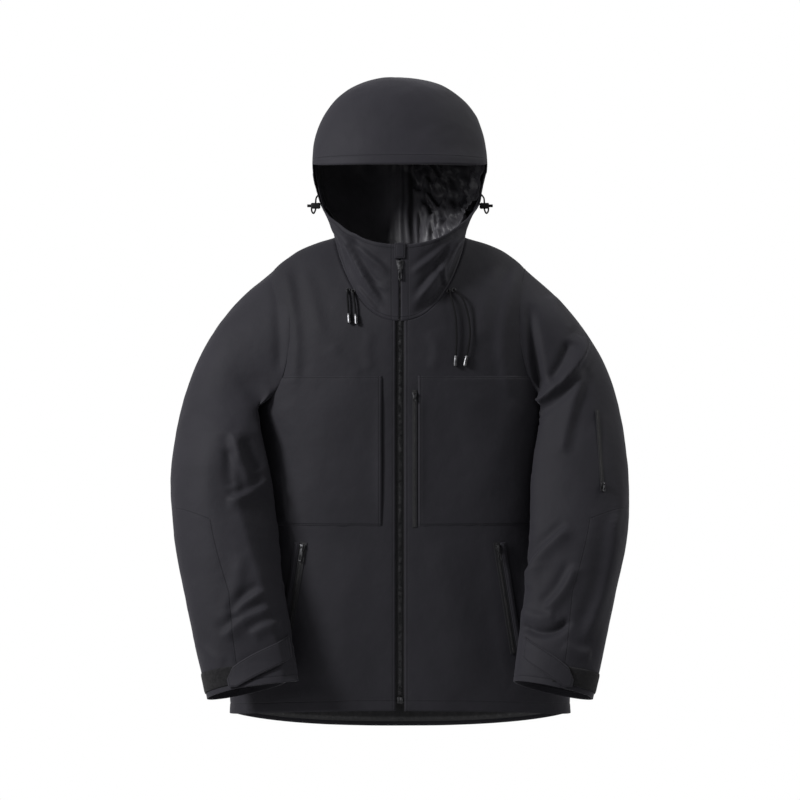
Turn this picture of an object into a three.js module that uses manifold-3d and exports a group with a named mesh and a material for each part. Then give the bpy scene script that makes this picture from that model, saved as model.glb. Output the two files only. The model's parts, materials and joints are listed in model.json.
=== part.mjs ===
// Hooded ski jacket, zipped up, hanging as if worn.
// Millimetres. +Z is up, the front faces -Y, the wearer's right side is at -X.
// The origin is the seat of the hanger loop, inside the back of the neck.
import * as THREE from "three";
import { mergeVertices } from "three/addons/utils/BufferGeometryUtils.js";
import Module from "manifold-3d";

const wasm = await Module();
wasm.setup();

// ---------------------------------------------------------------- driving dimensions

// Body, from the hanger loop down.
const BODY_LENGTH = 739; // loop to the hem at the side seam
const HEM_FRONT_RISE = 15; // the front hem is cut this much higher than the side
const HEM_TAIL_DROP = 36; // the back hem is cut this much lower than the side
const HEM_HALF_WIDTH = 272;
const HIP_HALF_WIDTH = 268;
const WAIST_HALF_WIDTH = 243;
const CHEST_HALF_WIDTH = 236;
const SHOULDER_HALF_WIDTH = 214;
const FRONT_DEPTH = 118; // loop axis to the closed zip, all the way down
const BACK_DEPTH = 120;
const BODY_SQUARENESS = 2.4; // exponent of the body's oval section

// Neck seam, where the collar is sewn on.
const NECK_HALF_WIDTH = 104;
const NECK_BACK_DEPTH = 78;
const NECK_SIDE_Z = 20;
const NECK_FRONT_Z = -117;
const NECK_BACK_Z = 30;

// Hood.
const CHIN_Z = 2; // top of the collar at the zip
const HOOD_HALF_WIDTH = 139;
const HOOD_EAR_Z = 136; // height of the widest place and of the brim's edge
const HOOD_DOME_HEIGHT = 142;
const HOOD_FRONT_DEPTH = 106;
const HOOD_BACK_DEPTH = 126;
const HOOD_ROUNDNESS = 2.2;
const HOOD_SIDE_Y = -28; // where the hood is widest
const FACE_EDGE_TURN = 82; // degrees from the front to the face opening's side edge
const CROWN_STRIP_HALF_WIDTH = 62;
const CROWN_SEAM_Y = 12;

// Cloth.
const SHELL = 2.0; // outer cloth with its membrane
const LINING = 1.2;
const PATCH = 1.6; // pocket and cuff pieces sewn on top
const SEAM_GAP = 0.3; // two pieces that meet at a seam
const LINING_GAP = 3.2; // the wadding between the outer cloth and the lining
const HOOD_LINING_GAP = 1.7;
const ARM_CLEARANCE = 7; // between a hanging sleeve and the body

// Sleeve: its centre line on the wearer's left, from inside the shoulder to the cuff.
const SLEEVE_PATH = [
  [160, 5, -84],
  [221, 2, -138],
  [259, -8, -208],
  [279, -30, -288],
  [286, -62, -368],
  [283, -92, -448],
  [271, -114, -528],
  [255, -132, -608],
  [237, -150, -688],
];
const SLEEVE_RADII = [70, 66, 71, 74, 74, 71, 66, 63, 62]; // across, seen from the front
const SLEEVE_DEPTHS = [78, 78, 74, 70, 66, 62, 58, 55, 52]; // front to back
const SLEEVE_FREE_STATION = 2; // below this the sleeve hangs clear of the body

// Main zip.
const SLOT_HALF_WIDTH = 7; // between the two front edges
const TAPE_WIDTH = 15;
const TAPE_THICKNESS = 0.7;
const TAPE_GAP = 1.5; // behind the front edges, which curve back a little at the collar
const CHAIN_HALF_WIDTH = 3;
const CHAIN_THICKNESS = 2.4;
const ZIP_CLEARANCE = 0.4; // running clearance of every slider
const MAIN_ZIP_TOP_Z = -22;
const MAIN_ZIP_END = 12; // the bottom box ends this far above the hem

// Sliders and pullers.
const MAIN_SLIDER = { width: 12, length: 14, height: 3.2, puller: 27, pullerWidth: 6 };
const POCKET_SLIDER = { width: 8.5, length: 10, height: 2.6, puller: 24, pullerWidth: 5.4 };
const SMALL_SLIDER = { width: 7.5, length: 8.5, height: 2.4, puller: 12, pullerWidth: 4.4 };
const PIN_RADIUS = 0.8;
const PIN_CLEARANCE = 0.4;
const EYE_RIM = 1; // metal round the eye of a puller

// Pockets, as seen from the front.
const CHEST_TOP_Z = -201;
const CHEST_BOTTOM_Z = -438;
const CHEST_INNER_X = 28.5;
const CHEST_OUTER_TURN = 84; // degrees round the body to the outer edge
const CHEST_ZIP_X = 22.5;
const CHEST_ZIP_TOP_Z = -228;
const HAND_POCKET_TOP = [150.5, -466];
const HAND_POCKET_BOTTOM = [177, -632];
const POCKET_ZIP_WIDTH = 11;
const WELT_WIDTH = 9;
const SMALL_ZIP_WIDTH = 7;
const POCKET_ZIP_THICKNESS = 1.6;
const SLEEVE_ZIP_LENGTH = 118;
const SLEEVE_ZIP_TURN = 62; // degrees from the sleeve's outer line towards the front
const SLEEVE_ZIP_STATION = 2.95; // where it starts along the sleeve

// Cuffs: stations are counted along the sleeve path, turns from its outer line to the front.
const CUFF_STATION = 8;
const PATCH_STATIONS = [7.5, 7.85];
const TAB_STATIONS = [7.46, 7.9];
const PATCH_TURNS = [-30, 98];
const PATCH_THICKNESS = 1;
const TAB_TURNS = [60, 150];
const TAB_SEWN_TURN = 112; // from here to its end the tab comes down to the sleeve

// Cords and hood locks.
const CORD_DIAMETER = 3.2;
const CORD_SIDES = 8;
const CORD_TIP = { length: 17, radius: 3.1 };
const LOCK = { width: 11, depth: 9, length: 15, wall: 1.8, travel: 3, button: 6 };
const LOCK_HEIGHT_Z = 68;

// ---------------------------------------------------------------- small helpers

const RAD = Math.PI / 180;
const vec = (x, y, z) => new THREE.Vector3(x, y, z);
const mix = (a, b, share) => a + (b - a) * share;
const clamp = (value, low, high) => Math.min(high, Math.max(low, value));
const power = (value, exponent) => Math.sign(value) * Math.abs(value) ** exponent;

// Smooth value at a fractional place in a list (Catmull-Rom).
function smoothAt(list, place) {
  const i = clamp(Math.floor(place), 0, list.length - 2);
  const s = place - i;
  const p0 = list[Math.max(i - 1, 0)];
  const [p1, p2] = [list[i], list[i + 1]];
  const p3 = list[Math.min(i + 2, list.length - 1)];
  return (
    0.5 * (2 * p1 + (p2 - p0) * s + (2 * p0 - 5 * p1 + 4 * p2 - p3) * s * s +
      (3 * p1 - p0 - 3 * p2 + p3) * s ** 3)
  );
}

// A closed solid from a BufferGeometry, and back.
function toSolid(geometry) {
  const bare = geometry.clone();
  bare.deleteAttribute("normal");
  bare.deleteAttribute("uv");
  const merged = mergeVertices(bare, 1e-3);
  return new wasm.Manifold(
    new wasm.Mesh({
      numProp: 3,
      vertProperties: merged.attributes.position.array,
      triVerts: new Uint32Array(merged.index.array),
    }),
  );
}

function toGeometry(solid) {
  const mesh = solid.getMesh();
  return new THREE.BufferGeometry()
    .setAttribute("position", new THREE.BufferAttribute(Float32Array.from(mesh.vertProperties), 3))
    .setIndex(new THREE.BufferAttribute(Uint32Array.from(mesh.triVerts), 1));
}

// The largest piece of a solid, which drops slivers that a cut leaves.
const largest = (solid) =>
  solid.decompose().reduce((a, b) => (b.volume() > a.volume() ? b : a));
const cut = (solid, ...tools) => largest(tools.reduce((left, tool) => left.subtract(tool), solid));

function box(x0, x1, y0, y1, z0, z1) {
  return new THREE.BoxGeometry(x1 - x0, y1 - y0, z1 - z0).translate(
    (x0 + x1) / 2, (y0 + y1) / 2, (z0 + z1) / 2,
  );
}

// A closed solid between two grids of points of the same size: the skin and its back.
function slab(skin, back) {
  const [rows, columns] = [skin.length, skin[0].length];
  const points = [...skin.flat(), ...back.flat()];
  const at = (side, row, column) => side * rows * columns + row * columns + column;
  const index = [];
  const quad = (a, b, c, d) => index.push(a, b, c, a, c, d);
  for (let r = 0; r + 1 < rows; r++)
    for (let c = 0; c + 1 < columns; c++) {
      quad(at(0, r, c), at(0, r, c + 1), at(0, r + 1, c + 1), at(0, r + 1, c));
      quad(at(1, r, c), at(1, r + 1, c), at(1, r + 1, c + 1), at(1, r, c + 1));
    }
  for (let c = 0; c + 1 < columns; c++) {
    quad(at(0, 0, c), at(1, 0, c), at(1, 0, c + 1), at(0, 0, c + 1));
    quad(at(0, rows - 1, c), at(0, rows - 1, c + 1), at(1, rows - 1, c + 1), at(1, rows - 1, c));
  }
  for (let r = 0; r + 1 < rows; r++) {
    quad(at(0, r, 0), at(0, r + 1, 0), at(1, r + 1, 0), at(1, r, 0));
    const last = columns - 1;
    quad(at(0, r, last), at(1, r, last), at(1, r + 1, last), at(0, r + 1, last));
  }
  const geometry = new THREE.BufferGeometry().setFromPoints(points).setIndex(index);
  let volume = 0;
  for (let i = 0; i < index.length; i += 3) {
    const [a, b, c] = [points[index[i]], points[index[i + 1]], points[index[i + 2]]];
    volume += a.dot(b.clone().cross(c));
  }
  if (volume < 0) geometry.setIndex(index.map((_, i) => index[i - (i % 3) + [0, 2, 1][i % 3]]));
  return geometry;
}

// ---------------------------------------------------------------- surfaces
// A surface is a function (turn, station, offset) => point. Turns are in degrees. The offset is
// measured along the outward normal, so it gives the cloth's thickness and what lies on it.

function withNormal(pointAt, inside) {
  return (turn, station, offset = 0) => {
    const point = pointAt(turn, station);
    if (offset === 0) return point;
    const [dTurn, dStation] = [0.5, 0.01];
    const across = pointAt(turn + dTurn, station).sub(pointAt(turn - dTurn, station));
    const along = pointAt(turn, station + dStation).sub(pointAt(turn, station - dStation));
    const normal = across.cross(along).normalize();
    if (normal.dot(point.clone().sub(inside(station))) < 0) normal.negate();
    return point.addScaledVector(normal, offset);
  };
}

// A ring is an oval seen from above whose height changes from the front to the side and the back.
function ringSurface(rings, inside) {
  const key = (name, station) => smoothAt(rings.map((ring) => ring[name]), station);
  const pointAt = (turn, station) => {
    const [s, c] = [Math.sin(turn * RAD), Math.cos(turn * RAD)];
    const exponent = 2 / key("squareness", station);
    const end = c > 0 ? "front" : "back";
    const sideZ = key("sideZ", station);
    const sideY = key("sideY", station);
    return vec(
      key("halfWidth", station) * power(s, exponent),
      sideY + (key(end + "Y", station) - sideY) * Math.abs(c) ** exponent,
      sideZ + (key(end + "Z", station) - sideZ) * Math.abs(c) ** (end === "front" ? 1.6 : 1.2),
    );
  };
  return withNormal(pointAt, inside);
}

const ring = (halfWidth, sideZ, frontZ, backZ, backY, more = {}) => ({
  halfWidth, sideZ, frontZ, backZ, backY,
  frontY: -FRONT_DEPTH, sideY: 0, squareness: BODY_SQUARENESS, ...more,
});
const neckRing = ring(NECK_HALF_WIDTH, NECK_SIDE_Z, NECK_FRONT_Z, NECK_BACK_Z, NECK_BACK_DEPTH, {
  squareness: 2.3,
});
const BODY_RINGS = [
  ring(HEM_HALF_WIDTH, -BODY_LENGTH, HEM_FRONT_RISE - BODY_LENGTH, -BODY_LENGTH - HEM_TAIL_DROP,
    BACK_DEPTH - 6),
  ring(HIP_HALF_WIDTH, -600, -600, -608, BACK_DEPTH - 2),
  ring(WAIST_HALF_WIDTH, -450, -450, -450, BACK_DEPTH),
  ring(CHEST_HALF_WIDTH, -300, -312, -300, BACK_DEPTH + 3),
  ring(CHEST_HALF_WIDTH - 2, -185, -232, -190, BACK_DEPTH + 3),
  ring(SHOULDER_HALF_WIDTH, -58, -168, -92, BACK_DEPTH - 4, { squareness: 2.3 }),
  ring(mix(SHOULDER_HALF_WIDTH, NECK_HALF_WIDTH, 0.4), -6, -134, -18, BACK_DEPTH - 24, {
    squareness: 2.1,
  }),
  neckRing,
];
const NECK_STATION = BODY_RINGS.length - 1;
const bodySurface = ringSurface(BODY_RINGS, (station) =>
  vec(0, 0, smoothAt(BODY_RINGS.map((r) => r.sideZ), station) - (station > 4 ? 60 : 0)),
);

function bodyTurnAt(x, station) {
  const halfWidth = smoothAt(BODY_RINGS.map((r) => r.halfWidth), station);
  const squareness = smoothAt(BODY_RINGS.map((r) => r.squareness), station);
  return Math.asin(power(clamp(x / halfWidth, -1, 1), squareness / 2)) / RAD;
}

// The body's turn and station at a place seen from the front: x across and z up.
function bodyPlace(x, z) {
  let [low, high] = [0, NECK_STATION];
  for (let step = 0; step < 30; step++) {
    const station = (low + high) / 2;
    const wide = smoothAt(BODY_RINGS.map((r) => r.halfWidth), station) > Math.abs(x);
    if (wide && bodySurface(bodyTurnAt(x, station), station).z < z) low = station;
    else high = station;
  }
  return { turn: bodyTurnAt(x, low), station: low };
}

// Half the body's width at a height and a depth, used to keep a sleeve off its flank.
function bodyReach(y, z) {
  let [low, high] = [0, NECK_STATION];
  for (let step = 0; step < 20; step++) {
    const middle = (low + high) / 2;
    if (smoothAt(BODY_RINGS.map((r) => r.sideZ), middle) < z) low = middle;
    else high = middle;
  }
  const halfWidth = smoothAt(BODY_RINGS.map((r) => r.halfWidth), low);
  const depth = y < 0 ? FRONT_DEPTH : smoothAt(BODY_RINGS.map((r) => r.backY), low);
  const share = clamp(Math.abs(y) / depth, 0, 1);
  return halfWidth * (1 - share ** BODY_SQUARENESS) ** (1 / BODY_SQUARENESS);
}

// Collar and hood share one surface: the collar's rings, the hood's side walls, then its dome.
const DOME_STEPS = 6;
const domeRings = Array.from({ length: DOME_STEPS + 1 }, (_, i) => {
  const angle = (i / DOME_STEPS) * 86 * RAD;
  const shrink = Math.cos(angle) ** (2 / HOOD_ROUNDNESS);
  const z = HOOD_EAR_Z + HOOD_DOME_HEIGHT * Math.sin(angle) ** (2 / HOOD_ROUNDNESS);
  const centreY = mix(HOOD_SIDE_Y, 6, Math.sin(angle));
  return {
    halfWidth: HOOD_HALF_WIDTH * shrink, sideZ: z, frontZ: z, backZ: z, sideY: centreY,
    frontY: mix(centreY, -HOOD_FRONT_DEPTH, shrink), backY: mix(centreY, HOOD_BACK_DEPTH, shrink),
    squareness: 2.1,
  };
});
const rimRing = {
  halfWidth: 126, sideZ: 72, frontZ: CHIN_Z, backZ: 84, sideY: -14, frontY: -FRONT_DEPTH,
  backY: 106, squareness: 2.2,
};
const HOOD_RINGS = [
  neckRing,
  { ...rimRing, halfWidth: 108, sideZ: 44, frontZ: -60, backZ: 54, sideY: -4, backY: 88 },
  rimRing,
  { ...rimRing, halfWidth: 135, sideZ: 106, frontZ: 100, backZ: 110, sideY: -22, backY: 118 },
  ...domeRings,
];
const RIM_STATION = 2;
const EAR_STATION = 4;
const TOP_STATION = HOOD_RINGS.length - 1;
const hoodSurface = ringSurface(HOOD_RINGS, (station) =>
  vec(0, 0, smoothAt(HOOD_RINGS.map((r) => r.sideZ), station) - 50 * clamp(station - 4, 0, 1)),
);

// A sleeve is a tube along its path. Turn 0 is its outer line, 90 its front.
function sleeveSurface(side) {
  const centre = (station) =>
    vec(
      side * smoothAt(SLEEVE_PATH.map((p) => p[0]), station),
      smoothAt(SLEEVE_PATH.map((p) => p[1]), station),
      smoothAt(SLEEVE_PATH.map((p) => p[2]), station),
    );
  const pointAt = (turn, station) => {
    const along = centre(station + 0.02).sub(centre(station - 0.02)).normalize();
    const outward = vec(0, 1, 0).cross(along).normalize();
    if (outward.x * side < 0) outward.negate();
    const forward = outward.clone().cross(along).normalize();
    if (forward.y > 0) forward.negate();
    const point = centre(station)
      .addScaledVector(outward, smoothAt(SLEEVE_RADII, station) * Math.cos(turn * RAD))
      .addScaledVector(forward, smoothAt(SLEEVE_DEPTHS, station) * Math.sin(turn * RAD));
    const free = clamp(station - SLEEVE_FREE_STATION, 0, 1);
    const reach = bodyReach(point.y, point.z) + ARM_CLEARANCE;
    if (free > 0 && Math.abs(point.x) < reach && Math.abs(point.y) < FRONT_DEPTH + 40)
      point.x = side * mix(Math.abs(point.x), reach, free);
    return point;
  };
  return withNormal(pointAt, centre);
}

// ---------------------------------------------------------------- panels

// A piece of cloth cut from a surface. turns and stations are [from, to]; either end of turns may
// be a function of the station. offset is the height of its back above the surface.
function panel(surface, turns, stations, columns, rows, thickness, offset = -thickness) {
  const at = (end, station) => (typeof end === "function" ? end(station) : end);
  const grid = (height) =>
    Array.from({ length: rows + 1 }, (_, r) => {
      const station = mix(stations[0], stations[1], r / rows);
      return Array.from({ length: columns + 1 }, (_, c) =>
        surface(mix(at(turns[0], station), at(turns[1], station), c / columns), station, height),
      );
    });
  return slab(grid(offset + thickness), grid(offset));
}

// A whole surface filled solid, used for cutting. turnsAt gives the turns all round at a station.
function filled(surface, turnsAt, stations, offset) {
  const rings = stations.map((station) =>
    turnsAt(station).map((turn) => surface(turn, station, offset)),
  );
  const [rows, columns] = [rings.length - 1, rings[0].length];
  const points = rings.flat();
  const middle = (list) =>
    list.reduce((sum, p) => sum.add(p), vec(0, 0, 0)).divideScalar(list.length);
  points.push(middle(rings[0]), middle(rings[rows]));
  const index = [];
  for (let r = 0; r < rows; r++)
    for (let c = 0; c < columns; c++) {
      const next = (c + 1) % columns;
      const [a, b] = [r * columns + c, r * columns + next];
      index.push(a, b, b + columns, a, b + columns, a + columns);
    }
  for (let c = 0; c < columns; c++) {
    const next = (c + 1) % columns;
    index.push(points.length - 2, next, c);
    index.push(points.length - 1, rows * columns + c, rows * columns + next);
  }
  const geometry = new THREE.BufferGeometry().setFromPoints(points).setIndex(index);
  const solid = toSolid(geometry);
  if (solid.volume() > 0) return solid;
  geometry.setIndex(index.map((_, i) => index[i - (i % 3) + [0, 2, 1][i % 3]]));
  return toSolid(geometry);
}

// Evenly spaced numbers, both ends included.
const steps = (from, to, count) =>
  Array.from({ length: count + 1 }, (_, i) => mix(from, to, i / count));
const evenTurns = (count, first = 0) => () => steps(first, first + 360, count).slice(0, count);

// A frame on a surface: z runs up from start to end, y points into the cloth, x across. It is
// raised so that a strip of the given width clears the surface all along.
function seat(start, end, outward, surfacePoints, width, clearance) {
  const up = start.clone().sub(end);
  const length = up.length();
  up.normalize();
  const across = up.clone().cross(outward).normalize();
  const inward = up.clone().cross(across).normalize();
  const high = surfacePoints
    .map((p) => p.clone().sub(end))
    .filter((d) => Math.abs(d.dot(across)) < width && d.dot(up) > -8 && d.dot(up) < length + 8)
    .reduce((most, d) => Math.max(most, -d.dot(inward)), -Infinity);
  const origin = end.clone().addScaledVector(inward, -(high + clearance));
  return { matrix: new THREE.Matrix4().makeBasis(across, inward, up).setPosition(origin), length };
}

// ---------------------------------------------------------------- materials

const material = (color, roughness, metalness = 0) =>
  new THREE.MeshStandardMaterial({ color, roughness, metalness });
const materials = {
  shell: material(0x26252a, 0.85),
  lining: material(0x17171b, 0.45),
  patch: material(0x0c0c0d, 0.95),
  tape: material(0x101011, 0.8),
  metal: material(0x3c3c40, 0.35, 1),
  cord: material(0x0e0e10, 0.8),
  plastic: material(0x0b0b0c, 0.4),
};

const jacket = new THREE.Group();
function add(name, geometry, look, matrix) {
  const mesh = new THREE.Mesh(geometry, materials[look]);
  mesh.name = name;
  if (matrix) mesh.applyMatrix4(matrix);
  jacket.add(mesh);
  return mesh;
}
const SIDES = [
  { name: "right", sign: -1 },
  { name: "left", sign: 1 },
];

// ---------------------------------------------------------------- body shell and lining

// Cloth and cutters share their rows and columns, so that a cut follows the cloth it meets.
const BODY_ROWS = 14;
const FRONT_COLUMNS = 8;
const BACK_COLUMNS = 16;
const SLEEVE_ROWS = 12;
const SLEEVE_COLUMNS = 8; // in each of its two pieces
const SLEEVE_FIRST_TURN = -60;
const slotTurn = (sign, halfSlot) => (station) => sign * bodyTurnAt(halfSlot, station);
const sleeves = { right: sleeveSurface(-1), left: sleeveSurface(1) };
const sleeveTurns = evenTurns(2 * SLEEVE_COLUMNS, SLEEVE_FIRST_TURN);
const sleeveStations = steps(0, CUFF_STATION, SLEEVE_ROWS);
const sleeveHollows = SIDES.map(({ name }) =>
  filled(sleeves[name], sleeveTurns, sleeveStations.slice(0, SLEEVE_ROWS / 2 + 1), -SHELL));
const bodyTurns = (station) => {
  const slot = bodyTurnAt(SLOT_HALF_WIDTH, station);
  return [
    ...steps(slot, 90, FRONT_COLUMNS),
    ...steps(90, 270, BACK_COLUMNS).slice(1, -1),
    ...steps(270, 360 - slot, FRONT_COLUMNS),
  ];
};
const bodyBlock = filled(bodySurface, bodyTurns, steps(0, NECK_STATION, BODY_ROWS), SEAM_GAP);

for (const { name, sign } of SIDES) {
  const front = panel(bodySurface, [slotTurn(sign, SLOT_HALF_WIDTH), sign * 90], [0, NECK_STATION],
    FRONT_COLUMNS, BODY_ROWS, SHELL);
  add(name + "_front_panel", toGeometry(cut(toSolid(front), ...sleeveHollows)), "shell");
}

const seamTurn = 90 + 0.15; // the back starts just past the side seam
const BACK_YOKE_STATION = 4.5;
const backYoke = panel(bodySurface, [seamTurn, 360 - seamTurn], [BACK_YOKE_STATION, NECK_STATION],
  BACK_COLUMNS, 5, SHELL);
const backPanel = panel(bodySurface, [seamTurn, 360 - seamTurn], [0, BACK_YOKE_STATION - 0.005],
  BACK_COLUMNS, 9, SHELL);
add("back_yoke", toGeometry(cut(toSolid(backYoke), ...sleeveHollows)), "shell");
add("back_panel", toGeometry(cut(toSolid(backPanel), ...sleeveHollows)), "shell");

const liningOffset = -(SHELL + LINING_GAP + LINING);
const LINING_HEM_STATION = 0.22;
const LINING_EDGE_X = SLOT_HALF_WIDTH + TAPE_WIDTH + 4;
const bodyLining = panel(bodySurface,
  [(s) => bodyTurnAt(LINING_EDGE_X, s), (s) => 360 - bodyTurnAt(LINING_EDGE_X, s)],
  [LINING_HEM_STATION, NECK_STATION - 0.05], 26, 12, LINING, liningOffset);
add("body_lining", toGeometry(cut(toSolid(bodyLining), ...sleeveHollows)), "lining");

// The powder skirt hangs inside the lining and narrows to its elastic edge.
const SKIRT_STATIONS = [0.35, 1.15];
const SKIRT_DROP_IN = 26; // how far its edge stands in from the lining
const skirtTop = liningOffset - 1.6;
const skirtSurface = (turn, station, offset) => {
  const share = (SKIRT_STATIONS[1] - station) / (SKIRT_STATIONS[1] - SKIRT_STATIONS[0]);
  return bodySurface(turn, station, offset - SKIRT_DROP_IN * share);
};
const skirt = panel(skirtSurface,
  [(s) => bodyTurnAt(LINING_EDGE_X, s), (s) => 360 - bodyTurnAt(LINING_EDGE_X, s)],
  SKIRT_STATIONS, 26, 3, LINING, skirtTop - LINING);
add("powder_skirt", skirt, "lining");

// ---------------------------------------------------------------- sleeves

const HALF_TURN_GAP = 0.15; // degrees, half the seam between the two sleeve pieces
const SLEEVE_LINING_STATIONS = [0, (CUFF_STATION * (SLEEVE_ROWS - 1)) / SLEEVE_ROWS];
const SLEEVE_MIDDLE_TURN = SLEEVE_FIRST_TURN + 180;
for (const { name } of SIDES) {
  const surface = sleeves[name];
  const pieces = {
    top_sleeve: [SLEEVE_FIRST_TURN + HALF_TURN_GAP, SLEEVE_MIDDLE_TURN - HALF_TURN_GAP],
    under_sleeve: [SLEEVE_MIDDLE_TURN + HALF_TURN_GAP, SLEEVE_FIRST_TURN + 360 - HALF_TURN_GAP],
  };
  for (const [piece, turns] of Object.entries(pieces)) {
    const cloth = panel(surface, turns, [0, CUFF_STATION], SLEEVE_COLUMNS, SLEEVE_ROWS, SHELL);
    add(name + "_" + piece, toGeometry(cut(toSolid(cloth), bodyBlock)), "shell");
  }
  const liner = panel(surface, [SLEEVE_FIRST_TURN, SLEEVE_FIRST_TURN + 359.5],
    SLEEVE_LINING_STATIONS, 2 * SLEEVE_COLUMNS, SLEEVE_ROWS - 1, LINING, liningOffset - 0.8);
  add(name + "_sleeve_lining", toGeometry(cut(toSolid(liner), bodyBlock)), "lining");
}

// ---------------------------------------------------------------- collar and hood

const COLLAR_SEAM_STEP = 0.06; // the collar starts this far above the neck seam, in stations
for (const { name, sign } of SIDES) {
  const neckTurn = (station) =>
    sign * Math.asin(SLOT_HALF_WIDTH / smoothAt(HOOD_RINGS.map((r) => r.halfWidth), station)) / RAD;
  add(name + "_collar", panel(hoodSurface, [neckTurn, sign * (180 - HALF_TURN_GAP)],
    [COLLAR_SEAM_STEP, RIM_STATION - 0.02], 14, 4, SHELL), "shell");
}

const wallTurns = [FACE_EDGE_TURN, 360 - FACE_EDGE_TURN];
const walls = toSolid(panel(hoodSurface, wallTurns, [RIM_STATION, EAR_STATION], 20, 4, SHELL));
const dome = filled(hoodSurface, evenTurns(28), steps(EAR_STATION, TOP_STATION, 8), 0).subtract(
  filled(hoodSurface, evenTurns(28), steps(EAR_STATION - 0.01, TOP_STATION - 0.02, 8), -SHELL),
);
const hood = largest(walls.add(dome));
const BIG = 400;
const half = SEAM_GAP / 2;
const block = (...sizes) => toSolid(box(...sizes));
const crownCut = block(-CROWN_STRIP_HALF_WIDTH + half, CROWN_STRIP_HALF_WIDTH - half,
  CROWN_SEAM_Y + half, BIG, -BIG, BIG);
const frontCut = block(-BIG, BIG, -BIG, CROWN_SEAM_Y - half, HOOD_EAR_Z + 0.5, BIG);
const rear = block(-BIG, BIG, CROWN_SEAM_Y + half, BIG, -BIG, BIG);
const under = block(-BIG, BIG, -BIG, BIG, -BIG, HOOD_EAR_Z + 0.5 - SEAM_GAP);
add("hood_front_panel", toGeometry(largest(hood.intersect(frontCut))), "shell");
add("hood_crown_panel", toGeometry(largest(hood.intersect(crownCut))), "shell");
for (const { name, sign } of SIDES) {
  const outer = CROWN_STRIP_HALF_WIDTH + half;
  const flank = sign > 0 ? block(outer, BIG, -BIG, BIG, -BIG, BIG)
    : block(-BIG, -outer, -BIG, BIG, -BIG, BIG);
  const piece = hood.intersect(flank).intersect(rear.add(under));
  add("hood_" + name + "_side", toGeometry(largest(piece)), "shell");
}

const hoodLiningOffset = -(SHELL + HOOD_LINING_GAP + LINING);
const innerWalls = toSolid(panel(hoodSurface, [FACE_EDGE_TURN + 3, 360 - FACE_EDGE_TURN - 3],
  [0.4, EAR_STATION], 18, 6, LINING, hoodLiningOffset));
const innerDome = filled(hoodSurface, evenTurns(24), steps(EAR_STATION - 0.1, TOP_STATION - 0.1, 8),
  hoodLiningOffset + LINING).subtract(filled(hoodSurface, evenTurns(24),
  steps(EAR_STATION - 0.11, TOP_STATION - 0.13, 8), hoodLiningOffset));
const brimClear = block(-BIG, BIG, -BIG, -20, -BIG, HOOD_EAR_Z + 6);
add("hood_lining", toGeometry(largest(innerWalls.add(innerDome.subtract(brimClear)))), "lining");

// Hanger loop: a strap sewn to the lining at both ends, with a gap for the hook.
const LOOP = { width: 66, gap: 7, strap: 1.4, height: 8, foot: 9 };
const loopWall = [];
for (const turn of steps(150, 210, 30))
  for (const station of steps(NECK_STATION - 1, NECK_STATION, 20)) {
    const point = bodySurface(turn, station, liningOffset);
    const beside = Math.abs(point.x) < LOOP.width / 2 + 4;
    if (beside && point.z > -LOOP.height - 4 && point.z < 4) loopWall.push(point.y);
  }
const FACET_SLACK = 0.8; // the lining's flat facets stand this much further back
const loopBackY = Math.min(...loopWall) - SEAM_GAP + FACET_SLACK;
const loopOutline = new THREE.Shape();
loopOutline.moveTo(-LOOP.width / 2, 0);
loopOutline.lineTo(LOOP.width / 2, 0);
loopOutline.lineTo(LOOP.width / 2, LOOP.gap + LOOP.strap);
loopOutline.lineTo(-LOOP.width / 2, LOOP.gap + LOOP.strap);
const loopHole = new THREE.Path();
loopHole.moveTo(-LOOP.width / 2 + LOOP.foot, LOOP.strap);
loopHole.lineTo(-LOOP.width / 2 + LOOP.foot, LOOP.gap);
loopHole.lineTo(LOOP.width / 2 - LOOP.foot, LOOP.gap);
loopHole.lineTo(LOOP.width / 2 - LOOP.foot, LOOP.strap);
loopOutline.holes.push(loopHole);
const loop = new THREE.ExtrudeGeometry(loopOutline, { depth: LOOP.height, bevelEnabled: false });
loop.translate(0, loopBackY - LOOP.gap - LOOP.strap, -LOOP.height);
add("hanger_loop", loop, "shell");

// ---------------------------------------------------------------- zips

// Local frame of a zip: x across, -y out of the cloth, z up; the chain's back is at y 0.
function sliderParts(size, chainHalfWidth, chainThickness) {
  const { width, length, height } = size;
  const inner = chainHalfWidth + ZIP_CLEARANCE;
  const roof = -(chainThickness + ZIP_CLEARANCE);
  const wall = box(-width / 2, width / 2, roof - height / 2, -ZIP_CLEARANCE, -length / 2, length / 2);
  const channel = box(-inner, inner, roof, 5, -length, length);
  const eye = PIN_RADIUS + PIN_CLEARANCE;
  const pivotY = roof - height / 2 - (eye + EYE_RIM + 0.3);
  const tongue = 1.2; // thickness of the puller's eye
  const earGap = tongue / 2 + PIN_CLEARANCE;
  const earLength = 2 * PIN_RADIUS + 2.4;
  const ear = (sign) =>
    box(...[sign * earGap, sign * (earGap + 1.1)].sort((a, b) => a - b), pivotY - PIN_RADIUS,
      roof - height / 2 + 0.2, length / 4 - earLength / 2, length / 4 + earLength / 2);
  const pin = new THREE.CylinderGeometry(PIN_RADIUS, PIN_RADIUS, 2 * earGap + 1, 8)
    .rotateZ(Math.PI / 2).translate(0, pivotY, length / 4);
  const body = toSolid(wall).subtract(toSolid(channel))
    .add(toSolid(ear(-1))).add(toSolid(ear(1))).add(toSolid(pin));
  return { body, pivot: vec(0, pivotY, length / 4), tongue, eye };
}

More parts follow.
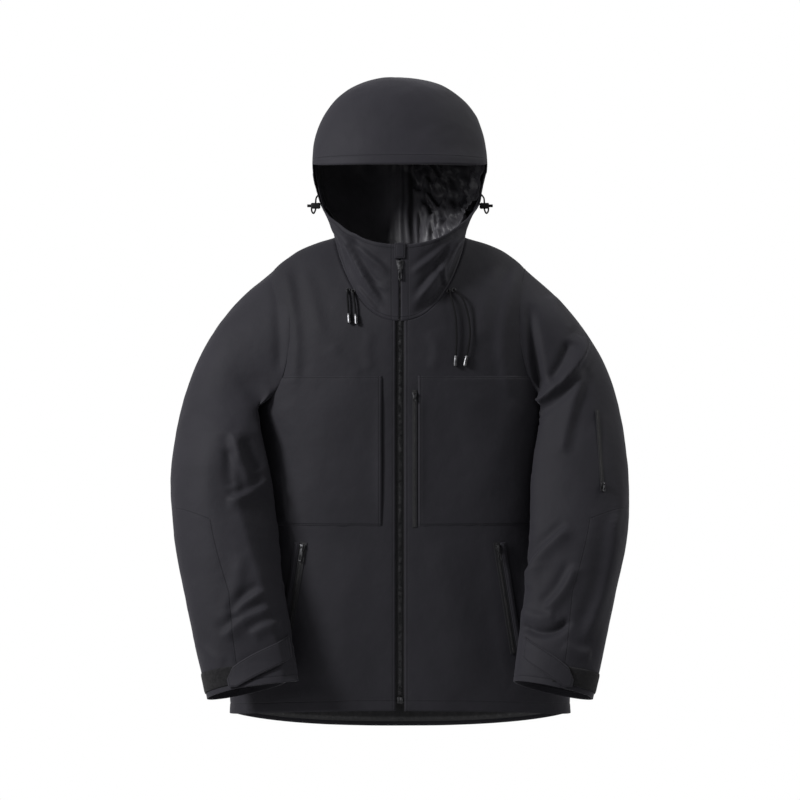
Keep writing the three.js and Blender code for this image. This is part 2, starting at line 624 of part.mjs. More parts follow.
// The puller, with its eye at the origin, hanging down -z, its plate facing y.
function pullerShape(size, tongue, eye) {
  const rim = eye + EYE_RIM;
  const outline = new THREE.Shape();
  outline.absarc(0, 0, rim, 0, 2 * Math.PI, false);
  const hole = new THREE.Path();
  hole.absarc(0, 0, eye, 0, 2 * Math.PI, true);
  outline.holes.push(hole);
  const eyeRing = new THREE.ExtrudeGeometry(outline, { depth: tongue, bevelEnabled: false,
    curveSegments: 6 }).translate(0, 0, -tongue / 2).rotateY(Math.PI / 2);
  const neck = box(-tongue / 2, tongue / 2, -0.7, 0.7, -rim - 1.6, -eye - 0.3);
  const w = size.pullerWidth / 2;
  const plate = box(-w, w, -0.7, 0.7, -size.puller, -rim - 1.4);
  const slot = box(-w * 0.45, w * 0.45, -2, 2, -size.puller + w * 0.6, -size.puller * 0.62);
  return toSolid(eyeRing).add(toSolid(neck)).add(toSolid(plate)).subtract(toSolid(slot));
}

function addSlider(name, place, z, size, chainHalfWidth, chainThickness) {
  const { body, pivot, tongue, eye } = sliderParts(size, chainHalfWidth, chainThickness);
  const shift = new THREE.Matrix4().makeTranslation(0, 0, z);
  const at = place.clone().multiply(shift);
  add(name + "_slider", toGeometry(body), "metal", at);
  const hang = at.clone().multiply(new THREE.Matrix4().makeTranslation(pivot.x, pivot.y, pivot.z));
  add(name + "_puller", toGeometry(pullerShape(size, tongue, eye)), "metal", hang);
}

// Main zip, straight down the centre front.
const tapeFrontY = -FRONT_DEPTH + SHELL + TAPE_GAP;
const mainPlace = new THREE.Matrix4().makeTranslation(0, tapeFrontY - SEAM_GAP, 0);
const hemZ = HEM_FRONT_RISE - BODY_LENGTH;
const zipBottomZ = hemZ + MAIN_ZIP_END;
for (const { name, sign } of SIDES) {
  const [x0, x1] = [sign * 0.2, sign * TAPE_WIDTH].sort((a, b) => a - b);
  add("main_zip_" + name + "_tape", box(x0, x1, tapeFrontY, tapeFrontY + TAPE_THICKNESS,
    zipBottomZ, CHIN_Z - 6), "tape");
}
add("main_zip_chain", box(-CHAIN_HALF_WIDTH, CHAIN_HALF_WIDTH, -CHAIN_THICKNESS, 0,
  zipBottomZ + 10, MAIN_ZIP_TOP_Z), "metal", mainPlace);
add("main_zip_end_box", box(-4.2, 4.2, -CHAIN_THICKNESS - 0.6, 0, zipBottomZ + 0.5,
  zipBottomZ + 9.6), "metal", mainPlace);
const mainSliderZ = MAIN_ZIP_TOP_Z - MAIN_SLIDER.length / 2 - 1;
addSlider("main_zip", mainPlace, mainSliderZ, MAIN_SLIDER, CHAIN_HALF_WIDTH, CHAIN_THICKNESS);

// Chin guard: the folded flap that covers the top of the zip.
const GUARD = { halfWidth: 8.5, thickness: 2, rise: 2 };
add("chin_guard", box(-GUARD.halfWidth, GUARD.halfWidth, -FRONT_DEPTH - SEAM_GAP - GUARD.thickness,
  -FRONT_DEPTH - SEAM_GAP, MAIN_ZIP_TOP_Z + 2, CHIN_Z + GUARD.rise), "shell");

// A closed pocket zip: a strip with its chain raised along the middle.
function pocketZip(width, length) {
  const chain = box(-1.5, 1.5, -POCKET_ZIP_THICKNESS, -0.4, 0, length);
  return toSolid(box(-width / 2, width / 2, -0.8, 0, -4, length + 4)).add(toSolid(chain));
}
const POCKET_CHAIN_HALF = 1.5;
function addPocketZip(name, place, length, width, size, sliderShare) {
  add(name + "_zip", toGeometry(pocketZip(width, length)), "tape", place);
  const z = mix(size.length / 2, length - size.length / 2, sliderShare);
  const lifted = place.clone().multiply(new THREE.Matrix4().makeTranslation(0, -0.8, 0));
  addSlider(name, lifted, z, size, POCKET_CHAIN_HALF, POCKET_ZIP_THICKNESS - 0.8);
}

// Points of the body's outer surface near a place, for seating a strip on it.
function bodyPatch(x0, x1, z0, z1) {
  const points = [];
  for (let i = 0; i <= 8; i++)
    for (let j = 0; j <= 16; j++) {
      const { turn, station } = bodyPlace(mix(x0, x1, i / 8), mix(z0, z1, j / 16));
      points.push(bodySurface(turn, station));
    }
  return points;
}
function bodyPoint(x, z, offset = 0) {
  const { turn, station } = bodyPlace(x, z);
  return bodySurface(turn, station, offset);
}

for (const { name, sign } of SIDES) {
  const top = bodyPoint(sign * HAND_POCKET_TOP[0], HAND_POCKET_TOP[1]);
  const bottom = bodyPoint(sign * HAND_POCKET_BOTTOM[0], HAND_POCKET_BOTTOM[1]);
  const outward = bodyPoint(sign * HAND_POCKET_TOP[0], HAND_POCKET_TOP[1], 10).sub(top)
    .add(bodyPoint(sign * HAND_POCKET_BOTTOM[0], HAND_POCKET_BOTTOM[1], 10).sub(bottom));
  const near = bodyPatch(sign * (HAND_POCKET_TOP[0] - 22), sign * (HAND_POCKET_BOTTOM[0] + 22),
    HAND_POCKET_TOP[1] + 10, HAND_POCKET_BOTTOM[1] - 10);
  const wide = POCKET_ZIP_WIDTH / 2 + WELT_WIDTH + 1;
  const { matrix, length } = seat(top, bottom, outward, near, wide, SEAM_GAP);
  addPocketZip(name + "_pocket", matrix, length, POCKET_ZIP_WIDTH, POCKET_SLIDER, 1);
  const inner = POCKET_ZIP_WIDTH / 2 + SEAM_GAP;
  const [x0, x1] = [sign * inner, sign * (inner + WELT_WIDTH)].sort((a, b) => a - b);
  add(name + "_pocket_welt", box(x0, x1, -1.8, 0, -2, length + 2), "shell", matrix);
}

const chestTop = bodyPoint(CHEST_ZIP_X, CHEST_ZIP_TOP_Z);
const chestBottom = bodyPoint(CHEST_ZIP_X, CHEST_BOTTOM_Z + 4);
const chestSeat = seat(chestTop, chestBottom, vec(0, -1, 0),
  bodyPatch(CHEST_ZIP_X - 6, CHEST_ZIP_X + 6, CHEST_ZIP_TOP_Z + 8, CHEST_BOTTOM_Z), 6, SEAM_GAP);
addPocketZip("chest_pocket", chestSeat.matrix, chestSeat.length, SMALL_ZIP_WIDTH, SMALL_SLIDER, 1);

// Chest pockets: patches sewn on the fronts between two level seams.
for (const { name, sign } of SIDES) {
  const [columns, rows] = [9, 4];
  const grid = (height) =>
    Array.from({ length: rows + 1 }, (_, r) => {
      const z = mix(CHEST_BOTTOM_Z, CHEST_TOP_Z, r / rows);
      const from = bodyPlace(sign * CHEST_INNER_X, z).turn;
      return Array.from({ length: columns + 1 }, (_, c) => {
        const turn = mix(from, sign * CHEST_OUTER_TURN, c / columns);
        let [low, high] = [0, NECK_STATION];
        for (let step = 0; step < 24; step++) {
          const station = (low + high) / 2;
          if (bodySurface(turn, station).z < z) low = station;
          else high = station;
        }
        return bodySurface(turn, low, height);
      });
    });
  const patch = toSolid(slab(grid(1.2 + PATCH), grid(1.2)));
  const clearArms = SIDES.map((s) =>
    filled(sleeves[s.name], sleeveTurns, sleeveStations.slice(0, 0.75 * SLEEVE_ROWS + 1), 1.5));
  add(name + "_chest_pocket", toGeometry(cut(patch, ...clearArms)), "shell");
}

// Sleeve pocket zip, on the front of the wearer's left sleeve.
const sleevePoint = (turn, station, offset) => sleeves.left(turn, station, offset);
const sleeveZipEnd = SLEEVE_ZIP_STATION + SLEEVE_ZIP_LENGTH / 82;
const sleeveTop = sleevePoint(SLEEVE_ZIP_TURN, SLEEVE_ZIP_STATION);
const sleeveBottom = sleevePoint(SLEEVE_ZIP_TURN + 6, sleeveZipEnd);
const sleeveOutward = sleevePoint(SLEEVE_ZIP_TURN + 3, (SLEEVE_ZIP_STATION + sleeveZipEnd) / 2, 10)
  .sub(sleevePoint(SLEEVE_ZIP_TURN + 3, (SLEEVE_ZIP_STATION + sleeveZipEnd) / 2));
const sleevePatch = [];
for (let i = 0; i <= 10; i++)
  for (let j = 0; j <= 16; j++)
    sleevePatch.push(sleevePoint(SLEEVE_ZIP_TURN - 8 + i * 2.4,
      mix(SLEEVE_ZIP_STATION - 0.1, sleeveZipEnd + 0.1, j / 16)));
const SLEEVE_FACET_DIP = 1.1; // the sleeve's flat facets lie this much inside its true surface
const sleeveSeat = seat(sleeveTop, sleeveBottom, sleeveOutward, sleevePatch,
  SMALL_ZIP_WIDTH / 2 + 1, SEAM_GAP - SLEEVE_FACET_DIP);
addPocketZip("sleeve_pocket", sleeveSeat.matrix, sleeveSeat.length, SMALL_ZIP_WIDTH,
  SMALL_SLIDER, 0);

// ---------------------------------------------------------------- cuffs

const cuffSeat = 3 * SEAM_GAP; // above the sleeve, whose facets are wider than the patch's
const tabLift = PATCH_THICKNESS + 2 * SEAM_GAP;
for (const { name } of SIDES) {
  const surface = sleeves[name];
  const tabSurface = (turn, station, offset) =>
    surface(turn, station, offset - (turn > TAB_SEWN_TURN ? tabLift : 0));
  add(name + "_cuff_patch", panel(surface, PATCH_TURNS, PATCH_STATIONS, 8, 1, PATCH_THICKNESS,
    cuffSeat), "patch");
  add(name + "_cuff_tab", panel(tabSurface, TAB_TURNS, TAB_STATIONS, 9, 1, PATCH,
    cuffSeat + tabLift), "shell");
}

// ---------------------------------------------------------------- drawcords and hood locks

// Cord routes on the wearer's left and right, from the collar seam down, as chosen by hand.
const CORDS = {
  right_drawcord_outer: [[-81, -68], [-81, -80], [-80, -93], [-79, -106]],
  right_drawcord_inner: [[-73, -70], [-71, -82], [-69, -95], [-68, -107]],
  left_drawcord_outer: [[84, -68], [97, -84], [105, -108], [108, -134], [106, -155], [103, -171]],
  left_drawcord_inner: [[76, -70], [80, -86], [85, -108], [87, -132], [87, -153], [86, -171]],
};
const CORD_LIFT = 5.2; // centre line above the cloth
const CORD_START_LIFT = CORD_DIAMETER / 2 + SEAM_GAP; // and at its eyelet
for (const [name, places] of Object.entries(CORDS)) {
  const points = places.map(([x, z], i) => bodyPoint(x, z, i ? CORD_LIFT : CORD_START_LIFT));
  const path = new THREE.CatmullRomCurve3(points);

  const section = new THREE.Shape();
  for (let i = 0; i < CORD_SIDES; i++) {
    const angle = (i / CORD_SIDES) * 2 * Math.PI;
    const [x, y] = [Math.cos(angle) * CORD_DIAMETER / 2, Math.sin(angle) * CORD_DIAMETER / 2];
    if (i) section.lineTo(x, y);
    else section.moveTo(x, y);
  }
  const count = Math.ceil(path.getLength() / (2.5 * CORD_DIAMETER));
  add(name, new THREE.ExtrudeGeometry(section, { steps: count, extrudePath: path }), "cord");
  const end = points[points.length - 1];
  const down = path.getTangent(1);
  const tip = new THREE.CylinderGeometry(CORD_TIP.radius * 0.7, CORD_TIP.radius, CORD_TIP.length, 12)
    .translate(0, -CORD_TIP.length / 2 - SEAM_GAP, 0);
  const turn = new THREE.Quaternion().setFromUnitVectors(vec(0, -1, 0), down);
  const place = new THREE.Matrix4().makeRotationFromQuaternion(turn).setPosition(end);
  add(name.replace("drawcord", "cord_tip"), tip, "plastic", place);
}

// Hood cord locks: a housing beside the face opening, with a sprung button.
for (const { name, sign } of SIDES) {
  const hold = hoodSurface(sign * 88, 1.95, 1.8);
  const { width, depth, length, wall, travel, button } = LOCK;
  const [x0, x1] = [hold.x, hold.x + sign * length].sort((a, b) => a - b);
  const housing = toSolid(box(x0, x1, -width / 2, width / 2, -depth / 2, depth / 2));
  const boreLength = [hold.x + sign * wall, hold.x + sign * (length + 1)].sort((a, b) => a - b);
  const bore = toSolid(box(...boreLength, -width / 2 + wall, width / 2 - wall, -depth / 2 + wall,
    depth / 2 - wall));
  const place = new THREE.Matrix4().makeTranslation(0, hold.y, hold.z);
  add("hood_" + name + "_cord_lock", toGeometry(housing.subtract(bore)), "plastic", place);
  const slack = ZIP_CLEARANCE;
  const from = hold.x + sign * (wall + travel + slack);
  const to = hold.x + sign * (length + travel + button - travel);
  const [b0, b1] = [from, to].sort((a, b) => a - b);
  add("hood_" + name + "_lock_button", box(b0, b1, -width / 2 + wall + slack,
    width / 2 - wall - slack, -depth / 2 + wall + slack, depth / 2 - wall - slack), "plastic", place);
}

// The origin is where the hook bears: in the middle of the loop's gap, at its top edge.
jacket.position.y = -(loopBackY - (LOOP.gap + LOOP.strap) / 2);

export default jacket;
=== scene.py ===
# %% [markdown]
# # A hooded ski jacket, zipped up
# The jacket hangs as if somebody wore it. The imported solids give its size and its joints. Each
# solid of cloth is replaced here by a fine, creased surface, and the zips, cord locks and tips by
# detailed small parts.

import json
import math

import bpy
import numpy as np
from mathutils import Matrix, Vector

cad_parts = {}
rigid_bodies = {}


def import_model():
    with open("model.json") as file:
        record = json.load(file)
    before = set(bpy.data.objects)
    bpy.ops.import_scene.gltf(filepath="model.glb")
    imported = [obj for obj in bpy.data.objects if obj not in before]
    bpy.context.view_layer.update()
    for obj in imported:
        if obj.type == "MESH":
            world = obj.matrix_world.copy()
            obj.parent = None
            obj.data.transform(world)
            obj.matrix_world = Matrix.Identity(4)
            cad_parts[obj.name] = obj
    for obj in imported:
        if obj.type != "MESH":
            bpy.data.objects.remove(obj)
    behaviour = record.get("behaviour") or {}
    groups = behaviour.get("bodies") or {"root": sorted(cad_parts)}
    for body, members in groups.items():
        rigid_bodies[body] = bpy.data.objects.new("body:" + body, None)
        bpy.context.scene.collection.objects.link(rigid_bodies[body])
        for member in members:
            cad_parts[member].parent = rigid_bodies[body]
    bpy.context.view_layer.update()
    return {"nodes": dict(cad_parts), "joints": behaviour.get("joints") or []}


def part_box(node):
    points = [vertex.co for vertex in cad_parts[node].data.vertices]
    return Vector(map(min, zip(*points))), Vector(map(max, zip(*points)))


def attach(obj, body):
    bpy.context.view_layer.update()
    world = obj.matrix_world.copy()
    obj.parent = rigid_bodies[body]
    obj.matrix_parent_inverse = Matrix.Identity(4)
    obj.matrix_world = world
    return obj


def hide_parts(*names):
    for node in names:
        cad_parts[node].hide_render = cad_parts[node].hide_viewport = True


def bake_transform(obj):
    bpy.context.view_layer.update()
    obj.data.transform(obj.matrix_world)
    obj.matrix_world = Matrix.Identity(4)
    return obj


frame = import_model()
front_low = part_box("right_front_panel")[0]

# %% [markdown]
# ## Camera
# A long lens from four metres away keeps the jacket's proportions, as a catalogue picture does.

# %% Camera
FRONT_DEPTH = 118.0  # mm from the middle of the body to the closed zip
middle_y = front_low[1] + FRONT_DEPTH / 1000  # the body's middle, in the frame
CAMERA_DISTANCE = 4.2
VIEW_WIDTH = 1.28  # metres across the picture at the body's middle
camera_data = bpy.data.cameras.new("camera")
camera_data.sensor_width = 36
camera_data.lens = 36 * CAMERA_DISTANCE / VIEW_WIDTH
camera = bpy.data.objects.new("camera", camera_data)
camera.location = (0, middle_y - CAMERA_DISTANCE, -0.24)
camera.rotation_euler = (math.radians(90), 0, 0)
bpy.context.scene.collection.objects.link(camera)
bpy.context.scene.camera = camera
print("camera at", [round(v, 3) for v in camera.location])

# %% [markdown]
# ## Smooth shapes from a few rings
# A tailor's dummy is measured at a few heights, and everything between is a smooth curve. The body
# and the hood are made the same way: a list of oval rings, with a smooth curve through each of
# their measurements. All sizes are in millimetres here and become metres at the end.


# %% Smooth curve through a list
def smooth_at(values, place):
    v = np.asarray(values, float)
    place = np.asarray(place, float)
    i = np.clip(np.floor(place).astype(int), 0, len(v) - 2)
    s = place - i
    p0, p1 = v[np.maximum(i - 1, 0)], v[i]
    p2, p3 = v[i + 1], v[np.minimum(i + 2, len(v) - 1)]
    return 0.5 * (
        2 * p1 + (p2 - p0) * s + (2 * p0 - 5 * p1 + 4 * p2 - p3) * s**2
        + (3 * p1 - p0 - 3 * p2 + p3) * s**3
    )


def smoothstep(value, low, high):
    t = np.clip((np.asarray(value, float) - low) / (high - low), 0, 1)
    return t * t * (3 - 2 * t)


def unit(v):
    return v / np.maximum(np.linalg.norm(v, axis=-1, keepdims=True), 1e-9)


def bell(value, width):
    """1 at nought, falling softly to nothing some two widths away."""
    return np.exp(-((value / width) ** 2))


def run_length(points):
    """How far each point lies along a line of points."""
    return np.concatenate([[0], np.cumsum(np.linalg.norm(np.diff(points, axis=0), axis=1))])


def run_up(grid):
    """How far each point of a grid lies from the first row, along its column."""
    return np.cumsum(np.linalg.norm(np.diff(grid, axis=0, prepend=grid[:1]), axis=2), 0)


# %% Rings of the body and the hood
BODY = {
    "half_width": [272, 268, 243, 236, 234, 214, 170, 104],
    "side_z": [-739, -600, -450, -300, -185, -58, -6, 20],
    "front_z": [-724, -600, -450, -312, -232, -168, -134, -117],
    "back_z": [-775, -608, -450, -300, -190, -92, -18, 30],
    "side_y": [0] * 8,
    "front_y": [-FRONT_DEPTH] * 8,
    "back_y": [114, 118, 120, 123, 123, 116, 96, 78],
    "square": [2.4, 2.4, 2.4, 2.4, 2.4, 2.3, 2.1, 2.3],
}
NECK_STATION = 7
DOME_RINGS = 7
BRIM_Z = 136  # height of the brim above the neck
dome_angle = np.radians(np.linspace(0, 86, DOME_RINGS))
dome_shrink = np.cos(dome_angle) ** (2 / 2.2)
dome_z = BRIM_Z + 142 * np.sin(dome_angle) ** (2 / 2.2)
dome_middle_y = -28 + 34 * np.sin(dome_angle)
HOOD = {
    "half_width": [104, 108, 126, 135, *(139 * dome_shrink)],
    "side_z": [20, 44, 72, 106, *dome_z],
    "front_z": [-117, -60, 2, 100, *dome_z],
    "back_z": [30, 54, 84, 110, *dome_z],
    "side_y": [0, -4, -14, -22, *dome_middle_y],
    "front_y": [-118, -118, -118, -118, *(dome_middle_y + (-106 - dome_middle_y) * dome_shrink)],
    "back_y": [78, 88, 106, 118, *(dome_middle_y + (126 - dome_middle_y) * dome_shrink)],
    "square": [2.3, 2.2, 2.2, 2.2, *([2.1] * DOME_RINGS)],
}
RIM_STATION, EAR_STATION, TOP_STATION = 2, 4, 3 + DOME_RINGS
print("rings: body", len(BODY["side_z"]), "hood", len(HOOD["side_z"]))


# %% A point on a ring surface
def signed_power(value, exponent):
    return np.sign(value) * np.abs(value) ** exponent


def ring_point(rings, turn, station):
    """turn is in degrees from the front, towards the wearer's left; station counts the rings."""
    s, c = np.sin(np.radians(turn)), np.cos(np.radians(turn))
    key = {name: smooth_at(values, station) for name, values in rings.items()}
    e = 2 / key["square"]
    front = c > 0
    end_y = np.where(front, key["front_y"], key["back_y"])
    end_z = np.where(front, key["front_z"], key["back_z"])
    lift = np.abs(c) ** np.where(front, 1.6, 1.2)
    x = key["half_width"] * signed_power(s, e)
    y = key["side_y"] + (end_y - key["side_y"]) * np.abs(c) ** e
    z = key["side_z"] + (end_z - key["side_z"]) * lift
    return np.stack(np.broadcast_arrays(x, y, z), -1)


# %% [markdown]
# ## Cloth that moves
# Real cloth is never flat. Broad soft waves come from a smooth random field, and each fold that
# matters is laid one by one: a line seen from the front or the back, with a width, a height and a
# steep side. Both depend only on where a point is, so pieces that touch crease together.

# %% Smooth random field
field = np.random.RandomState(11).rand(32, 32, 32) * 2 - 1


def noise(points, size, seed=0):
    q = points / size + seed * 7.31
    i = np.floor(q).astype(int)
    f = q - i
    f = f * f * (3 - 2 * f)
    total = 0
    for corner in range(8):
        o = np.array([corner & 1, corner >> 1 & 1, corner >> 2 & 1])
        w = np.prod(np.where(o, f, 1 - f), -1)
        j = (i + o) % 32
        total = total + w * field[j[..., 0], j[..., 1], j[..., 2]]
    return total


# %% A fold laid along a line
def curve_points(line, count=60):
    line = np.asarray(line, float)
    places = np.linspace(0, len(line) - 1, count)
    return np.stack([smooth_at(line[:, k], places) for k in range(line.shape[1])], -1)


def line_distance(points, line):
    """Signed distance to a line seen from the front, and the share of the way along it."""
    curve = curve_points(line)
    flat = points[..., [0, 2]].reshape(-1, 2)
    best = np.full(len(flat), 1e9)
    index = np.zeros(len(flat), int)
    for k, c in enumerate(curve):
        d = np.sum((flat - c) ** 2, 1)
        closer = d < best
        best[closer], index[closer] = d[closer], k
    tangent = unit(np.gradient(curve, axis=0))[index]
    away = flat - curve[index]
    side = np.sign(tangent[:, 0] * away[:, 1] - tangent[:, 1] * away[:, 0])
    shape = points.shape[:-1]
    return (side * np.sqrt(best)).reshape(shape), (index / (len(curve) - 1)).reshape(shape)


def lay_folds(points, normals, folds, facing=-1):
    """Each fold is (line, width, height, steepness): steepness > 0 drops on the line's right."""
    total = np.zeros(points.shape[:-1])
    seen = smoothstep(normals[..., 1] * facing, -0.05, 0.35)
    for line, width, height, steep in folds:
        d, t = line_distance(points, line)
        ends = np.clip(np.minimum(t, 1 - t) * 5, 0, 1)
        ends = ends * ends * (3 - 2 * ends)
        d = d / width
        crest = np.exp(-((d / np.where(d > 0, 1 - 0.55 * steep, 1 + 0.55 * steep)) ** 2))
        valley = np.exp(-((d - np.sign(steep) * 1.5) ** 2) * 1.3) * abs(steep)
        total += height * ends * (crest - 0.55 * valley)
    return total * seen


print("field and folds ready")


# %% [markdown]
# ## From a grid of points to a piece of cloth
# A grid of points becomes a mesh, and Solidify gives it the thickness of the cloth, towards its
# inside. Each piece keeps a UV map in metres, so a weave follows the cloth, and up to three named
# distances to its seams, so that a seam stays sharp however coarse the grid is.


# %% Make a piece of cloth
def to_metres(points):
    out = np.asarray(points, float) / 1000
    out[..., 1] += middle_y
    return out


SEAM_NAMES = ("seam_a", "seam_b", "seam_c")


def cloth_piece(name, points, outward, thickness, seams=(), keep=None, closed=False):
    """points is a grid in mm; outward its normals; seams a list of grids of distances in mm."""
    rows, columns = points.shape[:2]
    last = columns if closed else columns - 1
    r, c = np.meshgrid(np.arange(rows - 1), np.arange(last), indexing="ij")
    n = (c + 1) % columns
    quads = np.stack([r * columns + c, r * columns + n, (r + 1) * columns + n,
                      (r + 1) * columns + c], -1)
    if keep is not None:
        quads = quads[keep[:-1, :last]]
    quads = quads.reshape(-1, 4)
    flat = points.reshape(-1, 3)
    corner = flat[quads[: min(len(quads), 4000)]]
    facing = np.cross(corner[:, 1] - corner[:, 0], corner[:, 2] - corner[:, 0])
    normal = outward.reshape(-1, 3)[quads[: len(corner), 0]]
    if np.mean(np.sum(facing * normal, -1)) < 0:
        quads = quads[:, ::-1]
    used = np.unique(quads)
    renumber = np.zeros(len(flat), int)
    renumber[used] = np.arange(len(used))
    quads = renumber[quads]
    mesh = bpy.data.meshes.new(name)
    mesh.from_pydata(to_metres(flat[used]).tolist(), [], quads.tolist())
    across = np.cumsum(np.linalg.norm(np.diff(points, axis=1, prepend=points[:, :1]), axis=2), 1)
    along = np.cumsum(np.linalg.norm(np.diff(points, axis=0, prepend=points[:1]), axis=2), 0)
    across = across - across.mean(1, keepdims=True)
    uv = np.stack([across, along], -1).reshape(-1, 2)[used] / 1000
    layer = mesh.uv_layers.new(name="weave")
    layer.data.foreach_set("uv", uv[quads.reshape(-1)].ravel())
    for seam_name, distance in zip(SEAM_NAMES, list(seams) + [None] * 3):
        values = np.full(len(used), 99.0) if distance is None else distance.reshape(-1)[used]
        mesh.attributes.new(seam_name, "FLOAT", "POINT").data.foreach_set("value", values)
    mesh.polygons.foreach_set("use_smooth", [True] * len(mesh.polygons))
    piece = bpy.data.objects.new(name, mesh)
    bpy.context.scene.collection.objects.link(piece)
    if thickness:
        solid = piece.modifiers.new("thickness", "SOLIDIFY")
        solid.thickness, solid.offset = thickness / 1000, -1
        apply_all(piece)
    print(name, len(piece.data.polygons), "faces")
    return piece


def only(piece):
    """Deselect everything and make one piece active."""
    bpy.ops.object.select_all(action="DESELECT")
    piece.select_set(True)
    bpy.context.view_layer.objects.active = piece


def apply_all(piece):
    only(piece)
    for modifier in list(piece.modifiers):
        bpy.ops.object.modifier_apply(modifier=modifier.name)


# %% [markdown]
# ## Drawcords
# Two round elastic cords leave each side of the collar through an eyelet and end in a metal-ringed
# tip. Each is a tube along the route of its solid, with a UV map for the braid.

# %% Routes of the drawcords, in millimetres about the body's middle
CORDS = {
    "right_drawcord_outer": [(-81.39, -92.32, -67.24), (-82.06, -100.41, -78.13),
                             (-81.09, -105.44, -91.43), (-80.11, -109.47, -104.8)],
    "right_drawcord_inner": [(-73.39, -95.02, -69.27), (-72.02, -103.41, -80.17),
                             (-70.03, -108.51, -93.46), (-69.05, -112.13, -105.85)],
    "left_drawcord_outer": [(84.39, -91.63, -67.24), (98.18, -98.18, -82.24),
                            (106.09, -103.94, -106.56), (109.09, -109.66, -133.15),
                            (107.08, -112.65, -154.6), (104.0, -114.29, -170.75)],
    "left_drawcord_inner": [(76.39, -94.34, -69.26), (81.07, -102.97, -84.25),
                            (86.15, -108.57, -106.84), (87.9, -113.45, -131.12),
                            (87.85, -116.13, -152.6), (86.79, -117.3, -170.79)],
}
CORD_DIAMETER = 3.2


def mesh_piece(name, points, faces, smooth=True):
    """points in metres, in the frame."""
    mesh = bpy.data.meshes.new(name)
    mesh.from_pydata(np.asarray(points).tolist(), [], [list(map(int, f)) for f in faces])
    mesh.polygons.foreach_set("use_smooth", [smooth] * len(mesh.polygons))
    piece = bpy.data.objects.new(name, mesh)
    bpy.context.scene.collection.objects.link(piece)
    return piece


def tube(name, route, diameter, rings=40, sides=16):
    """A round tube along a smooth line through the route's points, given in mm."""
    places = np.linspace(0, len(route) - 1, rings)
    line = np.stack([smooth_at([p[k] for p in route], places) for k in range(3)], -1)
    along = unit(np.gradient(line, axis=0))
    side = unit(np.cross(along, [0.0, 1.0, 0.0]))
    up = np.cross(side, along)
    turn = np.linspace(0, 2 * math.pi, sides, endpoint=False)
    round_ = side[:, None] * np.cos(turn)[:, None] + up[:, None] * np.sin(turn)[:, None]
    points = line[:, None] + round_ * diameter / 2
    r, c = np.meshgrid(np.arange(rings - 1), np.arange(sides), indexing="ij")
    n = (c + 1) % sides
    quads = np.stack([r * sides + c, r * sides + n, (r + 1) * sides + n, (r + 1) * sides + c], -1)
    quads = quads.reshape(-1, 4)
    caps = [list(range(sides))[::-1], [(rings - 1) * sides + k for k in range(sides)]]
    piece = mesh_piece(name, to_metres(points.reshape(-1, 3)), quads.tolist() + caps)
    run = run_length(line)
    layer = piece.data.uv_layers.new(name="weave")
    for polygon in piece.data.polygons:
        for loop in polygon.loop_indices:
            v = piece.data.loops[loop].vertex_index
            u = (v % sides) / sides
            if len(polygon.vertices) == 4 and (v % sides) == 0 and max(
                    k % sides for k in polygon.vertices) > sides // 2:
                u = 1.0
            layer.data[loop].uv = (u * math.pi * diameter / 1000, run[v // sides] / 1000)
    make_outward(piece)
    return piece, to_metres(line)


def make_outward(piece):
    only(piece)
    bpy.ops.object.mode_set(mode="EDIT")
    bpy.ops.mesh.select_all(action="SELECT")
    bpy.ops.mesh.normals_make_consistent(inside=False)
    bpy.ops.object.mode_set(mode="OBJECT")


cords = {}
for node, route in CORDS.items():
    piece, line = tube(node + "_braid", route, CORD_DIAMETER)
    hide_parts(node)
    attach(piece, "jacket")
    cords[node] = (piece, line)
    print(node, round(float(np.sum(np.linalg.norm(np.diff(line, axis=0), axis=1))), 4), "m")

# %% [markdown]
# ## The grid that every body panel shares
# Rows run round the body and columns up it, a few millimetres apart. The row's turns are spaced
# evenly along the cloth, so a weave or a pucker keeps its size.


# %% Grids on the ring surfaces
def turn_for_x(rings, x, station):
    half_width, square = (smooth_at(rings[k], station) for k in ("half_width", "square"))
    share = np.clip(np.abs(x) / half_width, 0, 1) ** (square / 2)
    return np.degrees(np.arcsin(share)) * np.sign(x)


def ring_grid(rings, stations, start, end, columns):
    stations = np.asarray(stations, float)
    start = np.broadcast_to(start, stations.shape)[:, None]
    end = np.broadcast_to(end, stations.shape)[:, None]
    fine_turn = start + (end - start) * np.linspace(0, 1, 420)
    fine = ring_point(rings, fine_turn, stations[:, None] + 0 * fine_turn)
    step = np.linalg.norm(np.diff(fine, axis=1), axis=2)
    run = np.concatenate([np.zeros((len(stations), 1)), np.cumsum(step, 1)], 1)
    turns = np.stack([
        np.interp(np.linspace(0, r[-1], columns), r, t) for r, t in zip(run, fine_turn)
    ])
    return turns, stations[:, None] + 0 * turns


def ring_normal(rings, turns, stations, top):
    low, high = np.clip(stations - 0.02, 0, top), np.clip(stations + 0.02, 0, top)
    across = ring_point(rings, turns + 0.4, stations) - ring_point(rings, turns - 0.4, stations)
    along = ring_point(rings, turns, high) - ring_point(rings, turns, low)
    normal = unit(np.cross(across, along))
    away = ring_point(rings, turns, stations) * np.array([1, 1, 0])
    return normal * np.sign(np.sum(normal * away, -1, keepdims=True) + 1e-9)


def even_stations(rings, turn, low, high, step):
    fine = np.linspace(low, high, 1500)
    points = ring_point(rings, np.full_like(fine, turn), fine)
    run = run_length(points)
    return np.interp(np.linspace(0, run[-1], int(run[-1] / step) + 2), run, fine)


def body_front(x, z, lift=0.0):
    """The point of the body's front over x and z, lifted off it."""
    low, high = 0.0, float(NECK_STATION)
    for _ in range(40):
        middle = (low + high) / 2
        turn = turn_for_x(BODY, x, middle)
        if ring_point(BODY, turn, middle)[2] < z:
            low = middle
        else:
            high = middle
    turn, middle = np.array(turn), np.array(middle)
    return ring_point(BODY, turn, middle) + lift * ring_normal(BODY, turn, middle, NECK_STATION)


